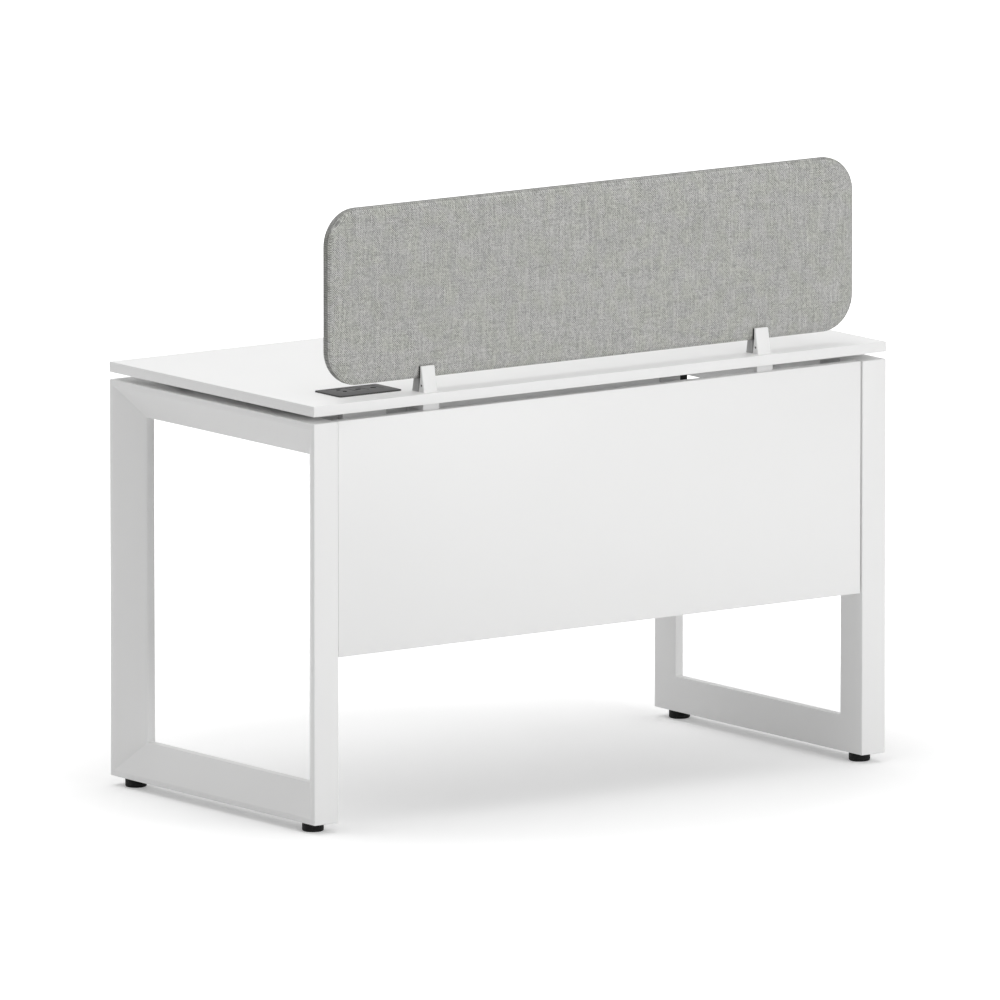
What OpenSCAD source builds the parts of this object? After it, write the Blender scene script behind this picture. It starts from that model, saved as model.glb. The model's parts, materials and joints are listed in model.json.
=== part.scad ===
// Cubicle workstation: a floating worktop on two closed-loop leg frames,
// with a fabric screen, a modesty panel, a power unit, a cable tray and levelling feet.
// The user sits on the -Y side and looks along +Y. The floor is at z = 0.

/* [Worktop] */
// Overall width of the desk
desk_w = 1200; // [1000:10:1800]
// Overall depth of the desk
desk_d = 600; // [520:10:800]
// Height of the worktop's top face
desk_h = 730; // [690:5:780]
// Thickness of the worktop board
top_t = 18; // [16:1:28]
// Open gap between the worktop and the steel frame
float_gap = 12; // [10:1:20]
// Thickness of the glued edge bands
band_t = 1; // [0.4:0.2:2]

/* [Leg frames] */
// Width of a leg frame across the desk
frame_w = 50; // [45:1:70]
// Depth of a frame bar from the loop's outside to its opening
bar_d = 62; // [55:1:80]
// Flat outer rim of a frame bar
rim_w = 10; // [6:1:16]
// Thickness of a frame bar at the opening
opening_wall = 16; // [12:1:24]
// Wall thickness of the frame tube
tube_t = 2; // [1.5:0.25:3]
// Radius of the tube's long edges
tube_r = 1.2; // [0.8:0.1:1.5]

/* [Feet] */
// Height of the frame above the floor with the feet screwed in
foot_h = 16; // [14:1:22]
// Radius of a foot pad
foot_r = 18.5; // [16:0.5:21]
// Distance of a foot's axis from the desk's front or rear
foot_inset = 40; // [34:1:60]
// Nominal radius of the foot's screw
stud_r = 4; // [3:0.5:5]
// Length of the foot's screw above the pad
stud_l = 36; // [34:1:38]

/* [Carcass under the worktop] */
// Width of a side channel
channel_w = 45; // [40:1:50]
// Height of a side channel's inner wall
channel_h = 77; // [70:1:77]
// Height of a side channel's outer wall
channel_flange_h = 58; // [40:1:60]
// Thickness of the folded steel
sheet_t = 2; // [1.5:0.25:3]
// Depth of a beam
beam_d = 40; // [30:1:45]
// Height of a beam
beam_h = 30; // [25:1:40]
// Wall thickness of a beam
beam_t = 1.5; // [1:0.25:2.5]
// Gap between the rear beam and the cable tray
beam_gap = 25; // [22:1:40]
// Radius of a worktop spacer
spacer_r = 11; // [9:0.5:14]

/* [Modesty panel] */
// Height of the modesty panel
modesty_h = 402; // [300:2:480]
// Thickness of the modesty panel
modesty_t = 18; // [16:1:20]
// Gap between the modesty panel and each rear post
modesty_gap = 2; // [1:0.5:3]
// Distance of the modesty panel's outer face from the desk's rear
modesty_inset = 3; // [2:0.5:3]

/* [Screen] */
// Distance from each end of the screen to the desk's end
screen_margin = 50; // [25:1:200]
// Height of the screen
screen_h = 300; // [250:10:500]
// Thickness of the screen with its fabric
screen_t = 20; // [18:1:22]
// Radius of the screen's corners
screen_r = 62; // [40:1:90]
// Thickness of the padded fabric on each face
cover_t = 4; // [4:0.5:5]
// Height of the screen's lower edge above the worktop
screen_lift = 23; // [21:1:30]
// Distance of the screen's rear face from the desk's rear
screen_inset = 27; // [26:1:29]
// Rounding of the padded covers' rims
rim_r = 3.5; // [1:0.25:3.5]

/* [Screen brackets] */
// Distance from the screen's end to a bracket's centre
bracket_inset = 200; // [170:5:240]
// Width of a bracket
bracket_w = 28; // [26:1:34]
// Height of the rear cheek
cheek_h = 44; // [43:0.5:60]
// Depth of the cheek at its foot
cheek_foot_d = 16.4; // [15:0.2:16.4]
// Depth of the cheek at its top
cheek_top_d = 4; // [4:0.5:8]
// Depth of the bracket's base under the screen
base_d = 18.6; // [18:0.2:22]
// How far the base leans in at its top
base_lean = 4; // [0:0.5:6]
// Thickness of the rubber pad behind the screen
pad_t = 2; // [1:0.25:3]
// Width of a hanger block under the worktop
block_w = 33; // [32:1:40]

/* [Power unit] */
// Width of the power unit's bezel
bezel_w = 128; // [124:1:136]
// Depth of the power unit's bezel
bezel_d = 76; // [74:1:80]
// Thickness of the bezel above the worktop
bezel_t = 2.5; // [1.5:0.5:4]
// Distance from the power unit's centre to the desk's right end
power_inset_x = 156; // [156:1:210]
// Distance from the power unit's centre to the desk's rear
power_inset_y = 91; // [91:1:94]
// Depth of the power unit's housing below the worktop's top face
housing_h = 68; // [55:1:72]

/* [Cable tray] */
// Distance from the tray's left end to the desk's left end
tray_left = 386; // [300:1:420]
// Height of the tray's rear wall
tray_h = 64; // [62:1:72]
// Height of the tray's front wall
tray_front_h = 40; // [30:1:50]
// Depth of the tray
tray_d = 126; // [118:1:132]
// Thickness of the tray's sheet
tray_t = 1.5; // [1:0.25:2]

/* [Hidden] */

// Clearance of a screw, stud or insert in its hole
fit_gap = 0.1;
// Running clearance of a foot's screw in its thread and in its pad
run_gap = 0.05;
// Clearance of soft and seated pieces
seat_gap = 0.3;
// How far a cutting shape runs past the faces that it cuts
overrun = 1;
// Facets of a round
round_fn = 48;
// Steps of a rounded profile corner
corner_steps = 4;

// Levels
board_z0 = desk_h - top_t;
frame_z1 = board_z0 - float_gap;
loop_h = frame_z1 - foot_h;
half_w = desk_w / 2;
half_d = desk_d / 2;
inboard_x = half_w - frame_w;

// Foot: the screw turns in the pad and in a threaded insert in the rail
foot_x = half_w - frame_w / 2;
foot_y = half_d - foot_inset;
pad_edge_r = 3.5;
collar_r = 8;
collar_t = 4;
collar_z = 5;
neck_gap = 0.5;
insert_r = 7;
insert_l = 22;
insert_flange_r = 10;
insert_flange_t = 2;
hex_key_r = 2.5;
hex_key_l = 6;

// Channels, beams and their fixings
post_gap = 3;
channel_l = desk_d - 2 * (bar_d + post_gap);
bolt_r = 3;
bolt_head_r = 5;
bolt_head_t = 4;
bolt_l = 14;
channel_bolt_inset = 85;
channel_bolt_y = channel_l / 2 - channel_bolt_inset;
channel_bolt_drop = 30;
end_plate_t = 3;
end_plate_margin = 12;
beam_bolt_r = 2.5;
beam_bolt_head_r = 4.5;
beam_bolt_head_t = 3.5;
beam_bolt_reach = 8;
spacer_inset = 55;
spacer_y = channel_l / 2 - spacer_inset;
front_beam_share = 0.125;
screw_r = 2.5;
screw_head_r = 5;
screw_head_t = 3;
screw_bite = 13;

// Modesty panel fixings
modesty_y1 = half_d - modesty_inset;
modesty_y0 = modesty_y1 - modesty_t;
modesty_w = 2 * (inboard_x - modesty_gap);
angle_l = 16;
angle_leg = 24;
angle_h = 36;
angle_drop = 230;
small_screw_r = 1.75;
small_head_r = 3.5;
small_head_t = 2;
small_screw_l = 12;

// Hanger blocks between the worktop and the modesty panel
block_front = 46;
block_rear = 11.5;
block_screw_inset = 4.7;
hanger_bite = 24;
block_y0 = half_d - block_front;
block_y1 = half_d - block_rear;
block_screw_y = block_y1 - block_screw_inset;

// Screen and its brackets
screen_w = desk_w - 2 * screen_margin;
bracket_x = screen_w / 2 - bracket_inset;
screen_y1 = half_d - screen_inset;
screen_y0 = screen_y1 - screen_t;
screen_z0 = desk_h + screen_lift;
core_y0 = screen_y0 + cover_t + seat_gap;
core_y1 = screen_y1 - cover_t - seat_gap;
base_top = screen_lift - seat_gap;
cheek_under = 1.4;
cheek_y0 = screen_y1 - cheek_under;
cheek_back = cheek_y0 + cheek_foot_d;
tongue_y0 = screen_y1 + seat_gap + pad_t;
tongue_t = 2.5;
tongue_w = 20;
tongue_h = 40;
head_pocket_d = 2.2;
root_t = 7.5;
root_h = 15;
screen_screw_z = 33;
screen_screw_r = 2;
screen_insert_r = 3.5;
screen_insert_l = 10;
pad_h = 19;
pad_w = 24;
grub_r = 2;
grub_l = 6;
grub_z = 11;
grub_sink = 0.4;
grub_back = 8.4;
grub_key_r = 1;
grub_key_l = 2.5;
base_bolt_r = 2.5;
base_bolt_x = 7;
base_bolt_bite = 13;
base_bolt_head_r = 4.25;
base_bolt_head_t = 4.5;

// Power unit: one socket insert and two port inserts in a bezel
power_x = half_w - power_inset_x;
power_y = half_d - power_inset_y;
socket_w = 38;
port_w = 22.5;
insert_d = 40;
insert_t = 12;
insert_sink = 0.4;
insert_shift_y = -10;
socket_shift = 27;
port_shifts = [-5, -36];
socket_x = power_x + socket_shift;
port_x = [for (shift = port_shifts) power_x + shift];
port_rise = 3;
pin_r = 2.6;
pin_pitch = 19;
pin_depth = 9;
earth_r = 1.6;
port_l = 8.6;
port_h = 3;
housing_t = 2;
housing_w = 112;
housing_d = 68;
cutout_gap = 1;
bezel_r = 4;
inlet_w = 26;
inlet_h = 22;
inlet_l = 12;
inlet_wall = 2.5;
inlet_floor = 2.5;
inlet_pin_r = 1.2;
inlet_pin_pitch = 6;
inlet_rise = 10;
inlet_pin_l = 7;
clamp_w = 16;
clamp_l = 14;
clamp_h = 7;
clamp_x = 36;

// Cable tray under the worktop, ending beside the right side channel
tray_inset = 54;
tray_rise = 4;
tray_end_gap = 3;
tray_y1 = half_d - tray_inset;
tray_y0 = tray_y1 - tray_d;
tray_z1 = frame_z1 + tray_rise;
tray_z0 = tray_z1 - tray_h;
tray_z2 = tray_z0 + tray_front_h;
tray_x1 = inboard_x - channel_w - tray_end_gap;
tray_x0 = tray_left - half_w;
tray_lip = 10;
cap_skirt = 15;
cap_t = 2;
cap_slot_w = 40;
cap_slot_h = 25;
hanger_w = 42;
hanger_drop = 60;
hanger_foot = 14;
hanger_gap = 3.5;
hanger_x = [tray_x0 + cap_skirt - cap_t + seat_gap + hanger_w / 2,
            bracket_x + (block_w + hanger_w) / 2 + hanger_gap];

// Places of the two beams across the desk's depth
rear_beam_y = tray_y0 - beam_gap - beam_d / 2;
front_beam_y = -desk_d * front_beam_share;
tray_screw_bite = 11;

// Unit vector along v
function unit(v) = v / norm(v);

// Points of the arc that rounds corner b between its neighbours a and c
function corner_points(a, b, c, r) =
    let (
        u = unit(a - b),
        v = unit(c - b),
        half = acos(u * v) / 2,
        run = r / tan(half),
        middle = b + unit(u + v) * r / sin(half),
        first = b + u * run - middle,
        last = b + v * run - middle,
        start = atan2(first[1], first[0]),
        turn = atan2(last[1], last[0]) - start,
        sweep = turn > 180 ? turn - 360 : turn < -180 ? turn + 360 : turn
    )
    [for (i = [0:corner_steps])
        middle + r * [cos(start + sweep * i / corner_steps), sin(start + sweep * i / corner_steps)]];

// A closed outline with all its corners rounded to r
function rounded(points, r) =
    let (n = len(points))
    [for (i = [0:n - 1]) each corner_points(points[(i + n - 1) % n], points[i], points[(i + 1) % n], r)];

// Section of a frame bar: distance from the loop's outside, distance from its outboard face
bevel_run = [bar_d - rim_w, frame_w - opening_wall];
bevel_l = norm(bevel_run);
bar_outline = [[0, 0], [rim_w, 0], [bar_d, frame_w - opening_wall], [bar_d, frame_w], [0, frame_w]];
rim_inner = rim_w + tube_t * (bevel_l - bevel_run[0]) / bevel_run[1] * bevel_run[0] / bevel_l
    - tube_t * bevel_run[1] / bevel_l;
bevel_end = (bar_d - tube_t - rim_w + tube_t * bevel_run[1] / bevel_l) * bevel_run[1] / bevel_run[0]
    + tube_t * bevel_run[0] / bevel_l;
bar_cavity = [
    [tube_t, tube_t],
    [rim_inner, tube_t],
    [bar_d - tube_t, bevel_end],
    [bar_d - tube_t, frame_w - tube_t],
    [tube_t, frame_w - tube_t]
];

// One hollow frame bar, standing along +Z, with both ends mitred
module mitred_bar(l) {
    intersection() {
        difference() {
            linear_extrude(height = l) polygon(rounded(bar_outline, tube_r));
            translate([0, 0, -overrun]) linear_extrude(height = l + 2 * overrun) polygon(bar_cavity);
        }
        translate([0, frame_w + overrun, 0]) rotate([90, 0, 0])
            linear_extrude(height = frame_w + 2 * overrun)
                polygon([[0, 0], [bar_d, bar_d], [bar_d, l - bar_d], [0, l]]);
    }
}

// The right front post and the right bottom rail in place
module post_bar() {
    translate([half_w, -half_d, foot_h]) rotate([0, 0, 90]) mitred_bar(loop_h);
}
module rail_bar() {
    translate([half_w, half_d, foot_h]) rotate([90, -90, 0]) mitred_bar(desk_d);
}

// A rod along +X, +Y or +Z from a point
module rod_x(at, r, l) { translate(at) rotate([0, 90, 0]) cylinder(r = r, h = l, $fn = round_fn); }
module rod_y(at, r, l) { translate(at) rotate([-90, 0, 0]) cylinder(r = r, h = l, $fn = round_fn); }
module rod_z(at, r, l) { translate(at) cylinder(r = r, h = l, $fn = round_fn); }

// A block from its lowest to its highest corner
module span(low, high) { translate(low) cube(high - low); }

// A plate with rounded corners, standing in the XZ plane, from y0 to y1
module rounded_plate(w, h, r, z0, y0, y1) {
    span([-w / 2 + r, y0, z0], [w / 2 - r, y1, z0 + h]);
    span([-w / 2, y0, z0 + r], [w / 2, y1, z0 + h - r]);
    for (x = [-w / 2 + r, w / 2 - r], z = [z0 + r, z0 + h - r]) rod_y([x, y0, z], r, y1 - y0);
}

// Children at the place of each side: right, then left
module both_sides() {
    children();
    mirror([1, 0, 0]) children();
}

// Places of the feet, spacers and fixings
foot_places = [for (sx = [1, -1], sy = [-1, 1]) [sx * foot_x, sy * foot_y]];
channel_x0 = inboard_x - channel_w;
channel_mid = inboard_x - channel_w / 2;
beam_end = channel_x0 - end_plate_t;

module worktop_board() {
    color("whitesmoke") difference() {
        span([-half_w + band_t, -half_d + band_t, board_z0], [half_w - band_t, half_d - band_t, desk_h]);
        span([power_x - housing_w / 2 - cutout_gap, power_y - housing_d / 2 - cutout_gap, board_z0 - overrun],
             [power_x + housing_w / 2 + cutout_gap, power_y + housing_d / 2 + cutout_gap, desk_h + overrun]);
        for (sx = [1, -1], x = [bracket_x - base_bolt_x, bracket_x + base_bolt_x])
            rod_z([sx * x, bolt_line_y, board_z0 - overrun], base_bolt_r + fit_gap, top_t + 2 * overrun);
        for (sx = [1, -1], y = [-spacer_y, spacer_y])
            rod_z([sx * channel_mid, y, board_z0 - overrun], screw_r + fit_gap, screw_bite + overrun);
        for (p = tray_screw_places)
            rod_z([p[0], p[1], board_z0 - overrun], small_screw_r + fit_gap, tray_screw_bite + overrun);
    }
}

module worktop_edge_bands() {
    color("whitesmoke") {
        for (sy = [-1, 1]) mirror([0, sy < 0 ? 1 : 0, 0])
            span([-half_w, half_d - band_t, board_z0], [half_w, half_d, desk_h]);
        both_sides() span([half_w - band_t, -half_d + band_t, board_z0], [half_w, half_d - band_t, desk_h]);
    }
}

module right_front_post() { color("lightgray") post_bar(); }

module right_rear_post() {
    color("lightgray") difference() {
        mirror([0, 1, 0]) post_bar();
        rod_x([inboard_x - overrun, angle_y, angle_z], small_screw_r + fit_gap, tube_t + 2 * overrun);
    }
}

module right_bottom_rail() {
    color("lightgray") difference() {
        rail_bar();
        for (y = [-foot_y, foot_y])
            rod_z([foot_x, y, foot_h - overrun], insert_r + fit_gap, tube_t + 2 * overrun);
    }
}

module right_top_rail() {
    color("lightgray") difference() {
        translate([0, 0, foot_h + frame_z1]) mirror([0, 0, 1]) rail_bar();
        for (y = [-channel_bolt_y, channel_bolt_y])
            rod_x([inboard_x - overrun, y, channel_bolt_z], bolt_r + fit_gap, tube_t + 2 * overrun);
    }
}

module left_front_post() { mirror([1, 0, 0]) right_front_post(); }
module left_rear_post() { mirror([1, 0, 0]) right_rear_post(); }
module left_top_rail() { mirror([1, 0, 0]) right_top_rail(); }
module left_bottom_rail() { mirror([1, 0, 0]) right_bottom_rail(); }

// Threaded inserts, flanged inside the bottom rails
module foot_inserts() {
    color("silver") for (p = foot_places) translate([p[0], p[1], foot_h]) difference() {
        union() {
            cylinder(r = insert_r, h = insert_l, $fn = round_fn);
            translate([0, 0, tube_t]) cylinder(r = insert_flange_r, h = insert_flange_t, $fn = round_fn);
        }
        rod_z([0, 0, -overrun], stud_r + run_gap, insert_l + 2 * overrun);
    }
}

// A foot pad: a moulded puck that the screw's collar turns in
module foot_pad(p) {
    color("black") translate([p[0], p[1], 0]) difference() {
        rotate_extrude($fn = round_fn) intersection() {
            polygon(rounded([
                [-foot_r, 0],
                [foot_r, 0],
                [foot_r, foot_h - seat_gap],
                [-foot_r, foot_h - seat_gap]
            ], pad_edge_r));
            square([foot_r, foot_h]);
        }
        translate([0, 0, collar_z - run_gap])
            cylinder(r = collar_r + run_gap, h = collar_t + 2 * run_gap, $fn = round_fn);
        translate([0, 0, collar_z]) cylinder(r = stud_r + neck_gap, h = foot_h, $fn = round_fn);
    }
}

// A foot screw: collar in the pad, round shank and hex recess at the top
module foot_stud(p) {
    color("silver") translate([p[0], p[1], 0]) difference() {
        union() {
            translate([0, 0, collar_z]) cylinder(r = collar_r, h = collar_t, $fn = round_fn);
            translate([0, 0, collar_z]) cylinder(r = stud_r, h = foot_h - collar_z + stud_l, $fn = round_fn);
        }
        translate([0, 0, foot_h + stud_l - hex_key_l])
            cylinder(r = hex_key_r, h = hex_key_l + overrun, $fn = 6);
    }
}

module front_right_foot_pad() { foot_pad(foot_places[0]); }
module rear_right_foot_pad() { foot_pad(foot_places[1]); }
module front_left_foot_pad() { foot_pad(foot_places[2]); }
module rear_left_foot_pad() { foot_pad(foot_places[3]); }
module front_right_foot_stud() { foot_stud(foot_places[0]); }
module rear_right_foot_stud() { foot_stud(foot_places[1]); }
module front_left_foot_stud() { foot_stud(foot_places[2]); }
module rear_left_foot_stud() { foot_stud(foot_places[3]); }

// Folded channel along the inside of a leg frame; it carries the beams and the worktop
module right_side_channel() {
    color("lightgray") difference() {
        translate([0, channel_l / 2, 0]) rotate([90, 0, 0]) linear_extrude(height = channel_l) polygon([
            [channel_x0, frame_z1 - channel_h],
            [channel_x0, frame_z1],
            [inboard_x, frame_z1],
            [inboard_x, frame_z1 - channel_flange_h],
            [inboard_x - sheet_t, frame_z1 - channel_flange_h],
            [inboard_x - sheet_t, frame_z1 - sheet_t],
            [channel_x0 + sheet_t, frame_z1 - sheet_t],
            [channel_x0 + sheet_t, frame_z1 - channel_h]
        ]);
        for (y = [-channel_bolt_y, channel_bolt_y])
            rod_x([inboard_x - sheet_t - overrun, y, channel_bolt_z], bolt_r + fit_gap,
                  sheet_t + 2 * overrun);
        for (y = [-spacer_y, spacer_y])
            rod_z([channel_mid, y, frame_z1 - sheet_t - overrun], screw_r + fit_gap, sheet_t + 2 * overrun);
        for (p = beam_bolt_places)
            rod_x([channel_x0 - overrun, p[0], p[1]], beam_bolt_r + fit_gap, sheet_t + 2 * overrun);
    }
}

module left_side_channel() { mirror([1, 0, 0]) right_side_channel(); }

channel_bolt_z = frame_z1 - channel_bolt_drop;

module channel_bolts() {
    color("silver") both_sides() for (y = [-channel_bolt_y, channel_bolt_y]) {
        rod_x([inboard_x - sheet_t - bolt_head_t, y, channel_bolt_z], bolt_head_r, bolt_head_t);
        rod_x([inboard_x - sheet_t - bolt_head_t, y, channel_bolt_z], bolt_r, bolt_l);
    }
}

// A beam tube between the two end plates
module beam(y) {
    color("lightgray") difference() {
        span([-beam_end, y - beam_d / 2, frame_z1 - beam_h], [beam_end, y + beam_d / 2, frame_z1]);
        span([-beam_end - overrun, y - beam_d / 2 + beam_t, frame_z1 - beam_h + beam_t],
             [beam_end + overrun, y + beam_d / 2 - beam_t, frame_z1 - beam_t]);
    }
}

module front_beam() { beam(front_beam_y); }
module rear_beam() { beam(rear_beam_y); }

// Bolts stand beside the beams, through the end plates' ears
beam_bolt_places = [for (y = [front_beam_y, rear_beam_y], s = [-1, 1])
    [y + s * (beam_d / 2 + end_plate_margin / 2), frame_z1 - beam_h / 2]];

module beam_end_plates() {
    color("lightgray") both_sides() difference() {
        for (y = [front_beam_y, rear_beam_y])
            span([beam_end, y - beam_d / 2 - end_plate_margin, frame_z1 - beam_h],
                 [channel_x0, y + beam_d / 2 + end_plate_margin, frame_z1]);
        for (p = beam_bolt_places)
            rod_x([beam_end - overrun, p[0], p[1]], beam_bolt_r + fit_gap, end_plate_t + 2 * overrun);
    }
}

module beam_bolts() {
    color("silver") both_sides() for (p = beam_bolt_places) {
        rod_x([beam_end - beam_bolt_head_t, p[0], p[1]], beam_bolt_head_r, beam_bolt_head_t);
        rod_x([beam_end - beam_bolt_head_t, p[0], p[1]], beam_bolt_r,
              beam_bolt_head_t + end_plate_t + beam_bolt_reach);
    }
}

// Round spacers that hold the worktop off the frame
module worktop_spacers() {
    color("dimgray") both_sides() for (y = [-spacer_y, spacer_y]) difference() {
        rod_z([channel_mid, y, frame_z1], spacer_r, float_gap);
        rod_z([channel_mid, y, frame_z1 - overrun], screw_r + fit_gap, float_gap + 2 * overrun);
    }
}

module worktop_screws() {
    color("silver") both_sides() for (y = [-spacer_y, spacer_y]) {
        rod_z([channel_mid, y, frame_z1 - sheet_t - screw_head_t], screw_head_r, screw_head_t);
        rod_z([channel_mid, y, frame_z1 - sheet_t - screw_head_t], screw_r,
              screw_head_t + sheet_t + float_gap + screw_bite);
    }
}

angle_z = frame_z1 - angle_drop;
angle_y = modesty_y0 - angle_l / 2;

module modesty_board() {
    color("whitesmoke") difference() {
        span([-modesty_w / 2 + band_t, modesty_y0, frame_z1 - modesty_h + band_t],
             [modesty_w / 2 - band_t, modesty_y1, frame_z1 - band_t]);
        both_sides() {
            rod_y([angle_screw_x, modesty_y0 - overrun, angle_z], small_screw_r + fit_gap,
                  small_screw_l - small_head_t - sheet_t + 2 * overrun);
            rod_z([bracket_x, block_screw_y, frame_z1 - hanger_bite], small_screw_r + fit_gap,
                  hanger_bite + overrun);
        }
    }
}

module modesty_edge_bands() {
    color("whitesmoke") difference() {
        union() {
            for (z = [frame_z1 - modesty_h, frame_z1 - band_t])
                span([-modesty_w / 2, modesty_y0, z], [modesty_w / 2, modesty_y1, z + band_t]);
            both_sides() span([modesty_w / 2 - band_t, modesty_y0, frame_z1 - modesty_h + band_t],
                              [modesty_w / 2, modesty_y1, frame_z1 - band_t]);
        }
        both_sides() rod_z([bracket_x, block_screw_y, frame_z1 - band_t - overrun],
                           small_screw_r + fit_gap, band_t + 2 * overrun);
    }
}

angle_screw_x = inboard_x - angle_l;

// Small steel angles that tie the modesty panel to the rear posts
module modesty_angles() {
    color("lightgray") both_sides() difference() {
        union() {
            span([inboard_x - sheet_t, modesty_y0 - angle_l, angle_z - angle_h / 2],
                 [inboard_x, modesty_y0, angle_z + angle_h / 2]);
            span([inboard_x - angle_leg, modesty_y0 - sheet_t, angle_z - angle_h / 2],
                 [inboard_x, modesty_y0, angle_z + angle_h / 2]);
        }
        rod_x([inboard_x - sheet_t - overrun, angle_y, angle_z], small_screw_r + fit_gap,
              sheet_t + 2 * overrun);
        rod_y([angle_screw_x, modesty_y0 - sheet_t - overrun, angle_z], small_screw_r + fit_gap,
              sheet_t + 2 * overrun);
    }
}

module modesty_screws() {
    color("silver") both_sides() {
        rod_x([inboard_x - sheet_t - small_head_t, angle_y, angle_z], small_head_r, small_head_t);
        rod_x([inboard_x - sheet_t - small_head_t, angle_y, angle_z], small_screw_r, small_screw_l);
        rod_y([angle_screw_x, modesty_y0 - sheet_t - small_head_t, angle_z], small_head_r, small_head_t);
        rod_y([angle_screw_x, modesty_y0 - sheet_t - small_head_t, angle_z], small_screw_r, small_screw_l);
    }
}

// Line of the bolts that go up through block and worktop into a bracket's base
bolt_line_y = cheek_y0 - base_d / 2;

module hanger_blocks() {
    color("gainsboro") both_sides() difference() {
        span([bracket_x - block_w / 2, block_y0, frame_z1], [bracket_x + block_w / 2, block_y1, board_z0]);
        for (x = [bracket_x - base_bolt_x, bracket_x + base_bolt_x]) {
            rod_z([x, bolt_line_y, frame_z1 - overrun], base_bolt_r + fit_gap, float_gap + 2 * overrun);
            rod_z([x, bolt_line_y, frame_z1 - overrun], base_bolt_head_r + fit_gap,
                  base_bolt_head_t + overrun);
        }
        rod_z([bracket_x, block_screw_y, frame_z1 - overrun], small_screw_r + fit_gap,
              float_gap + 2 * overrun);
        rod_z([bracket_x, block_screw_y, board_z0 - small_head_t], small_head_r + fit_gap,
              small_head_t + overrun);
    }
}

module hanger_screws() {
    color("silver") both_sides() {
        rod_z([bracket_x, block_screw_y, board_z0 - small_head_t], small_head_r, small_head_t);
        rod_z([bracket_x, block_screw_y, frame_z1 - hanger_bite], small_screw_r,
              hanger_bite + float_gap - small_head_t);
    }
}

// Bolts from below, through block and worktop, into the bracket's base
module bracket_bolts() {
    color("silver") both_sides() for (x = [bracket_x - base_bolt_x, bracket_x + base_bolt_x]) {
        rod_z([x, bolt_line_y, frame_z1], base_bolt_head_r, base_bolt_head_t);
        rod_z([x, bolt_line_y, frame_z1], base_bolt_r, float_gap + top_t + base_bolt_bite);
    }
}

// Base of a screen bracket: a block under the screen with a tongue behind it
module right_bracket_base() {
    color("dimgray") translate([bracket_x, 0, desk_h]) difference() {
        union() {
            translate([-bracket_w / 2, 0, 0]) rotate([90, 0, 90]) linear_extrude(height = bracket_w) polygon([
                [cheek_y0 - base_d, 0],
                [cheek_y0, 0],
                [cheek_y0, base_top],
                [cheek_y0 - base_d + base_lean, base_top]
            ]);
            span([-tongue_w / 2, bolt_line_y, 0], [tongue_w / 2, tongue_y0 + tongue_t, base_top]);
            span([-tongue_w / 2, bolt_line_y, 0], [tongue_w / 2, tongue_y0 + root_t, root_h]);
            span([-tongue_w / 2, tongue_y0, 0], [tongue_w / 2, tongue_y0 + tongue_t, tongue_h]);
        }
        for (x = [-base_bolt_x, base_bolt_x])
            rod_z([x, bolt_line_y, -overrun], base_bolt_r + fit_gap, base_bolt_bite + overrun);
        rod_y([0, tongue_y0 - overrun, screen_screw_z], screen_screw_r + fit_gap, tongue_t + 2 * overrun);
        rod_x([bracket_w / 2 - grub_l - grub_sink, grub_y, grub_z], grub_r + fit_gap, grub_l + overrun);
    }
}

grub_y = cheek_y0 + grub_back;

// Wedge-shaped rear cheek, pushed over the tongue and held by a side screw
module right_bracket_cheek() {
    color("whitesmoke") translate([bracket_x, 0, desk_h]) difference() {
        translate([-bracket_w / 2, 0, 0]) rotate([90, 0, 90]) linear_extrude(height = bracket_w) polygon([
            [cheek_y0, 0],
            [cheek_back, 0],
            [tongue_y0 + cheek_top_d, cheek_h],
            [tongue_y0, cheek_h],
            [tongue_y0, base_top],
            [cheek_y0, base_top]
        ]);
        span([-tongue_w / 2 - fit_gap, cheek_y0 - overrun, -overrun],
             [tongue_w / 2 + fit_gap, tongue_y0 + tongue_t + fit_gap, tongue_h + fit_gap]);
        span([-tongue_w / 2 - fit_gap, cheek_y0 - overrun, -overrun],
             [tongue_w / 2 + fit_gap, tongue_y0 + root_t + fit_gap, root_h + fit_gap]);
        span([-small_head_r - fit_gap, tongue_y0, -overrun],
             [small_head_r + fit_gap, tongue_y0 + tongue_t + head_pocket_d,
              screen_screw_z + small_head_r + fit_gap]);
        rod_x([bracket_w / 2 - grub_l - grub_sink, grub_y, grub_z], grub_r + fit_gap,
              grub_l + grub_sink + overrun);
    }
}

module left_bracket_base() { mirror([1, 0, 0]) right_bracket_base(); }
module left_bracket_cheek() { mirror([1, 0, 0]) right_bracket_cheek(); }

module bracket_pads() {
    color("black") both_sides() difference() {
        span([bracket_x - pad_w / 2, tongue_y0 - pad_t, screen_z0 + overrun],
             [bracket_x + pad_w / 2, tongue_y0, screen_z0 + overrun + pad_h]);
        rod_y([bracket_x, tongue_y0 - pad_t - overrun, desk_h + screen_screw_z],
              screen_screw_r + fit_gap, pad_t + 2 * overrun);
    }
}

module bracket_grub_screws() {
    color("silver") both_sides() difference() {
        rod_x([bracket_x + bracket_w / 2 - grub_l - grub_sink, grub_y, desk_h + grub_z], grub_r, grub_l);
        translate([bracket_x + bracket_w / 2 - grub_sink - grub_key_l, grub_y, desk_h + grub_z])
            rotate([0, 90, 0]) cylinder(r = grub_key_r, h = grub_key_l + overrun, $fn = 6);
    }
}

// Screws through tongue and pad into the screen's inserts
module screen_screws() {
    color("silver") both_sides() {
        rod_y([bracket_x, tongue_y0 + tongue_t, desk_h + screen_screw_z], small_head_r, small_head_t);
        rod_y([bracket_x, core_y1 - screen_insert_l + overrun, desk_h + screen_screw_z],
              screen_screw_r, tongue_y0 + tongue_t - core_y1 + screen_insert_l - overrun);
    }
}

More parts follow.
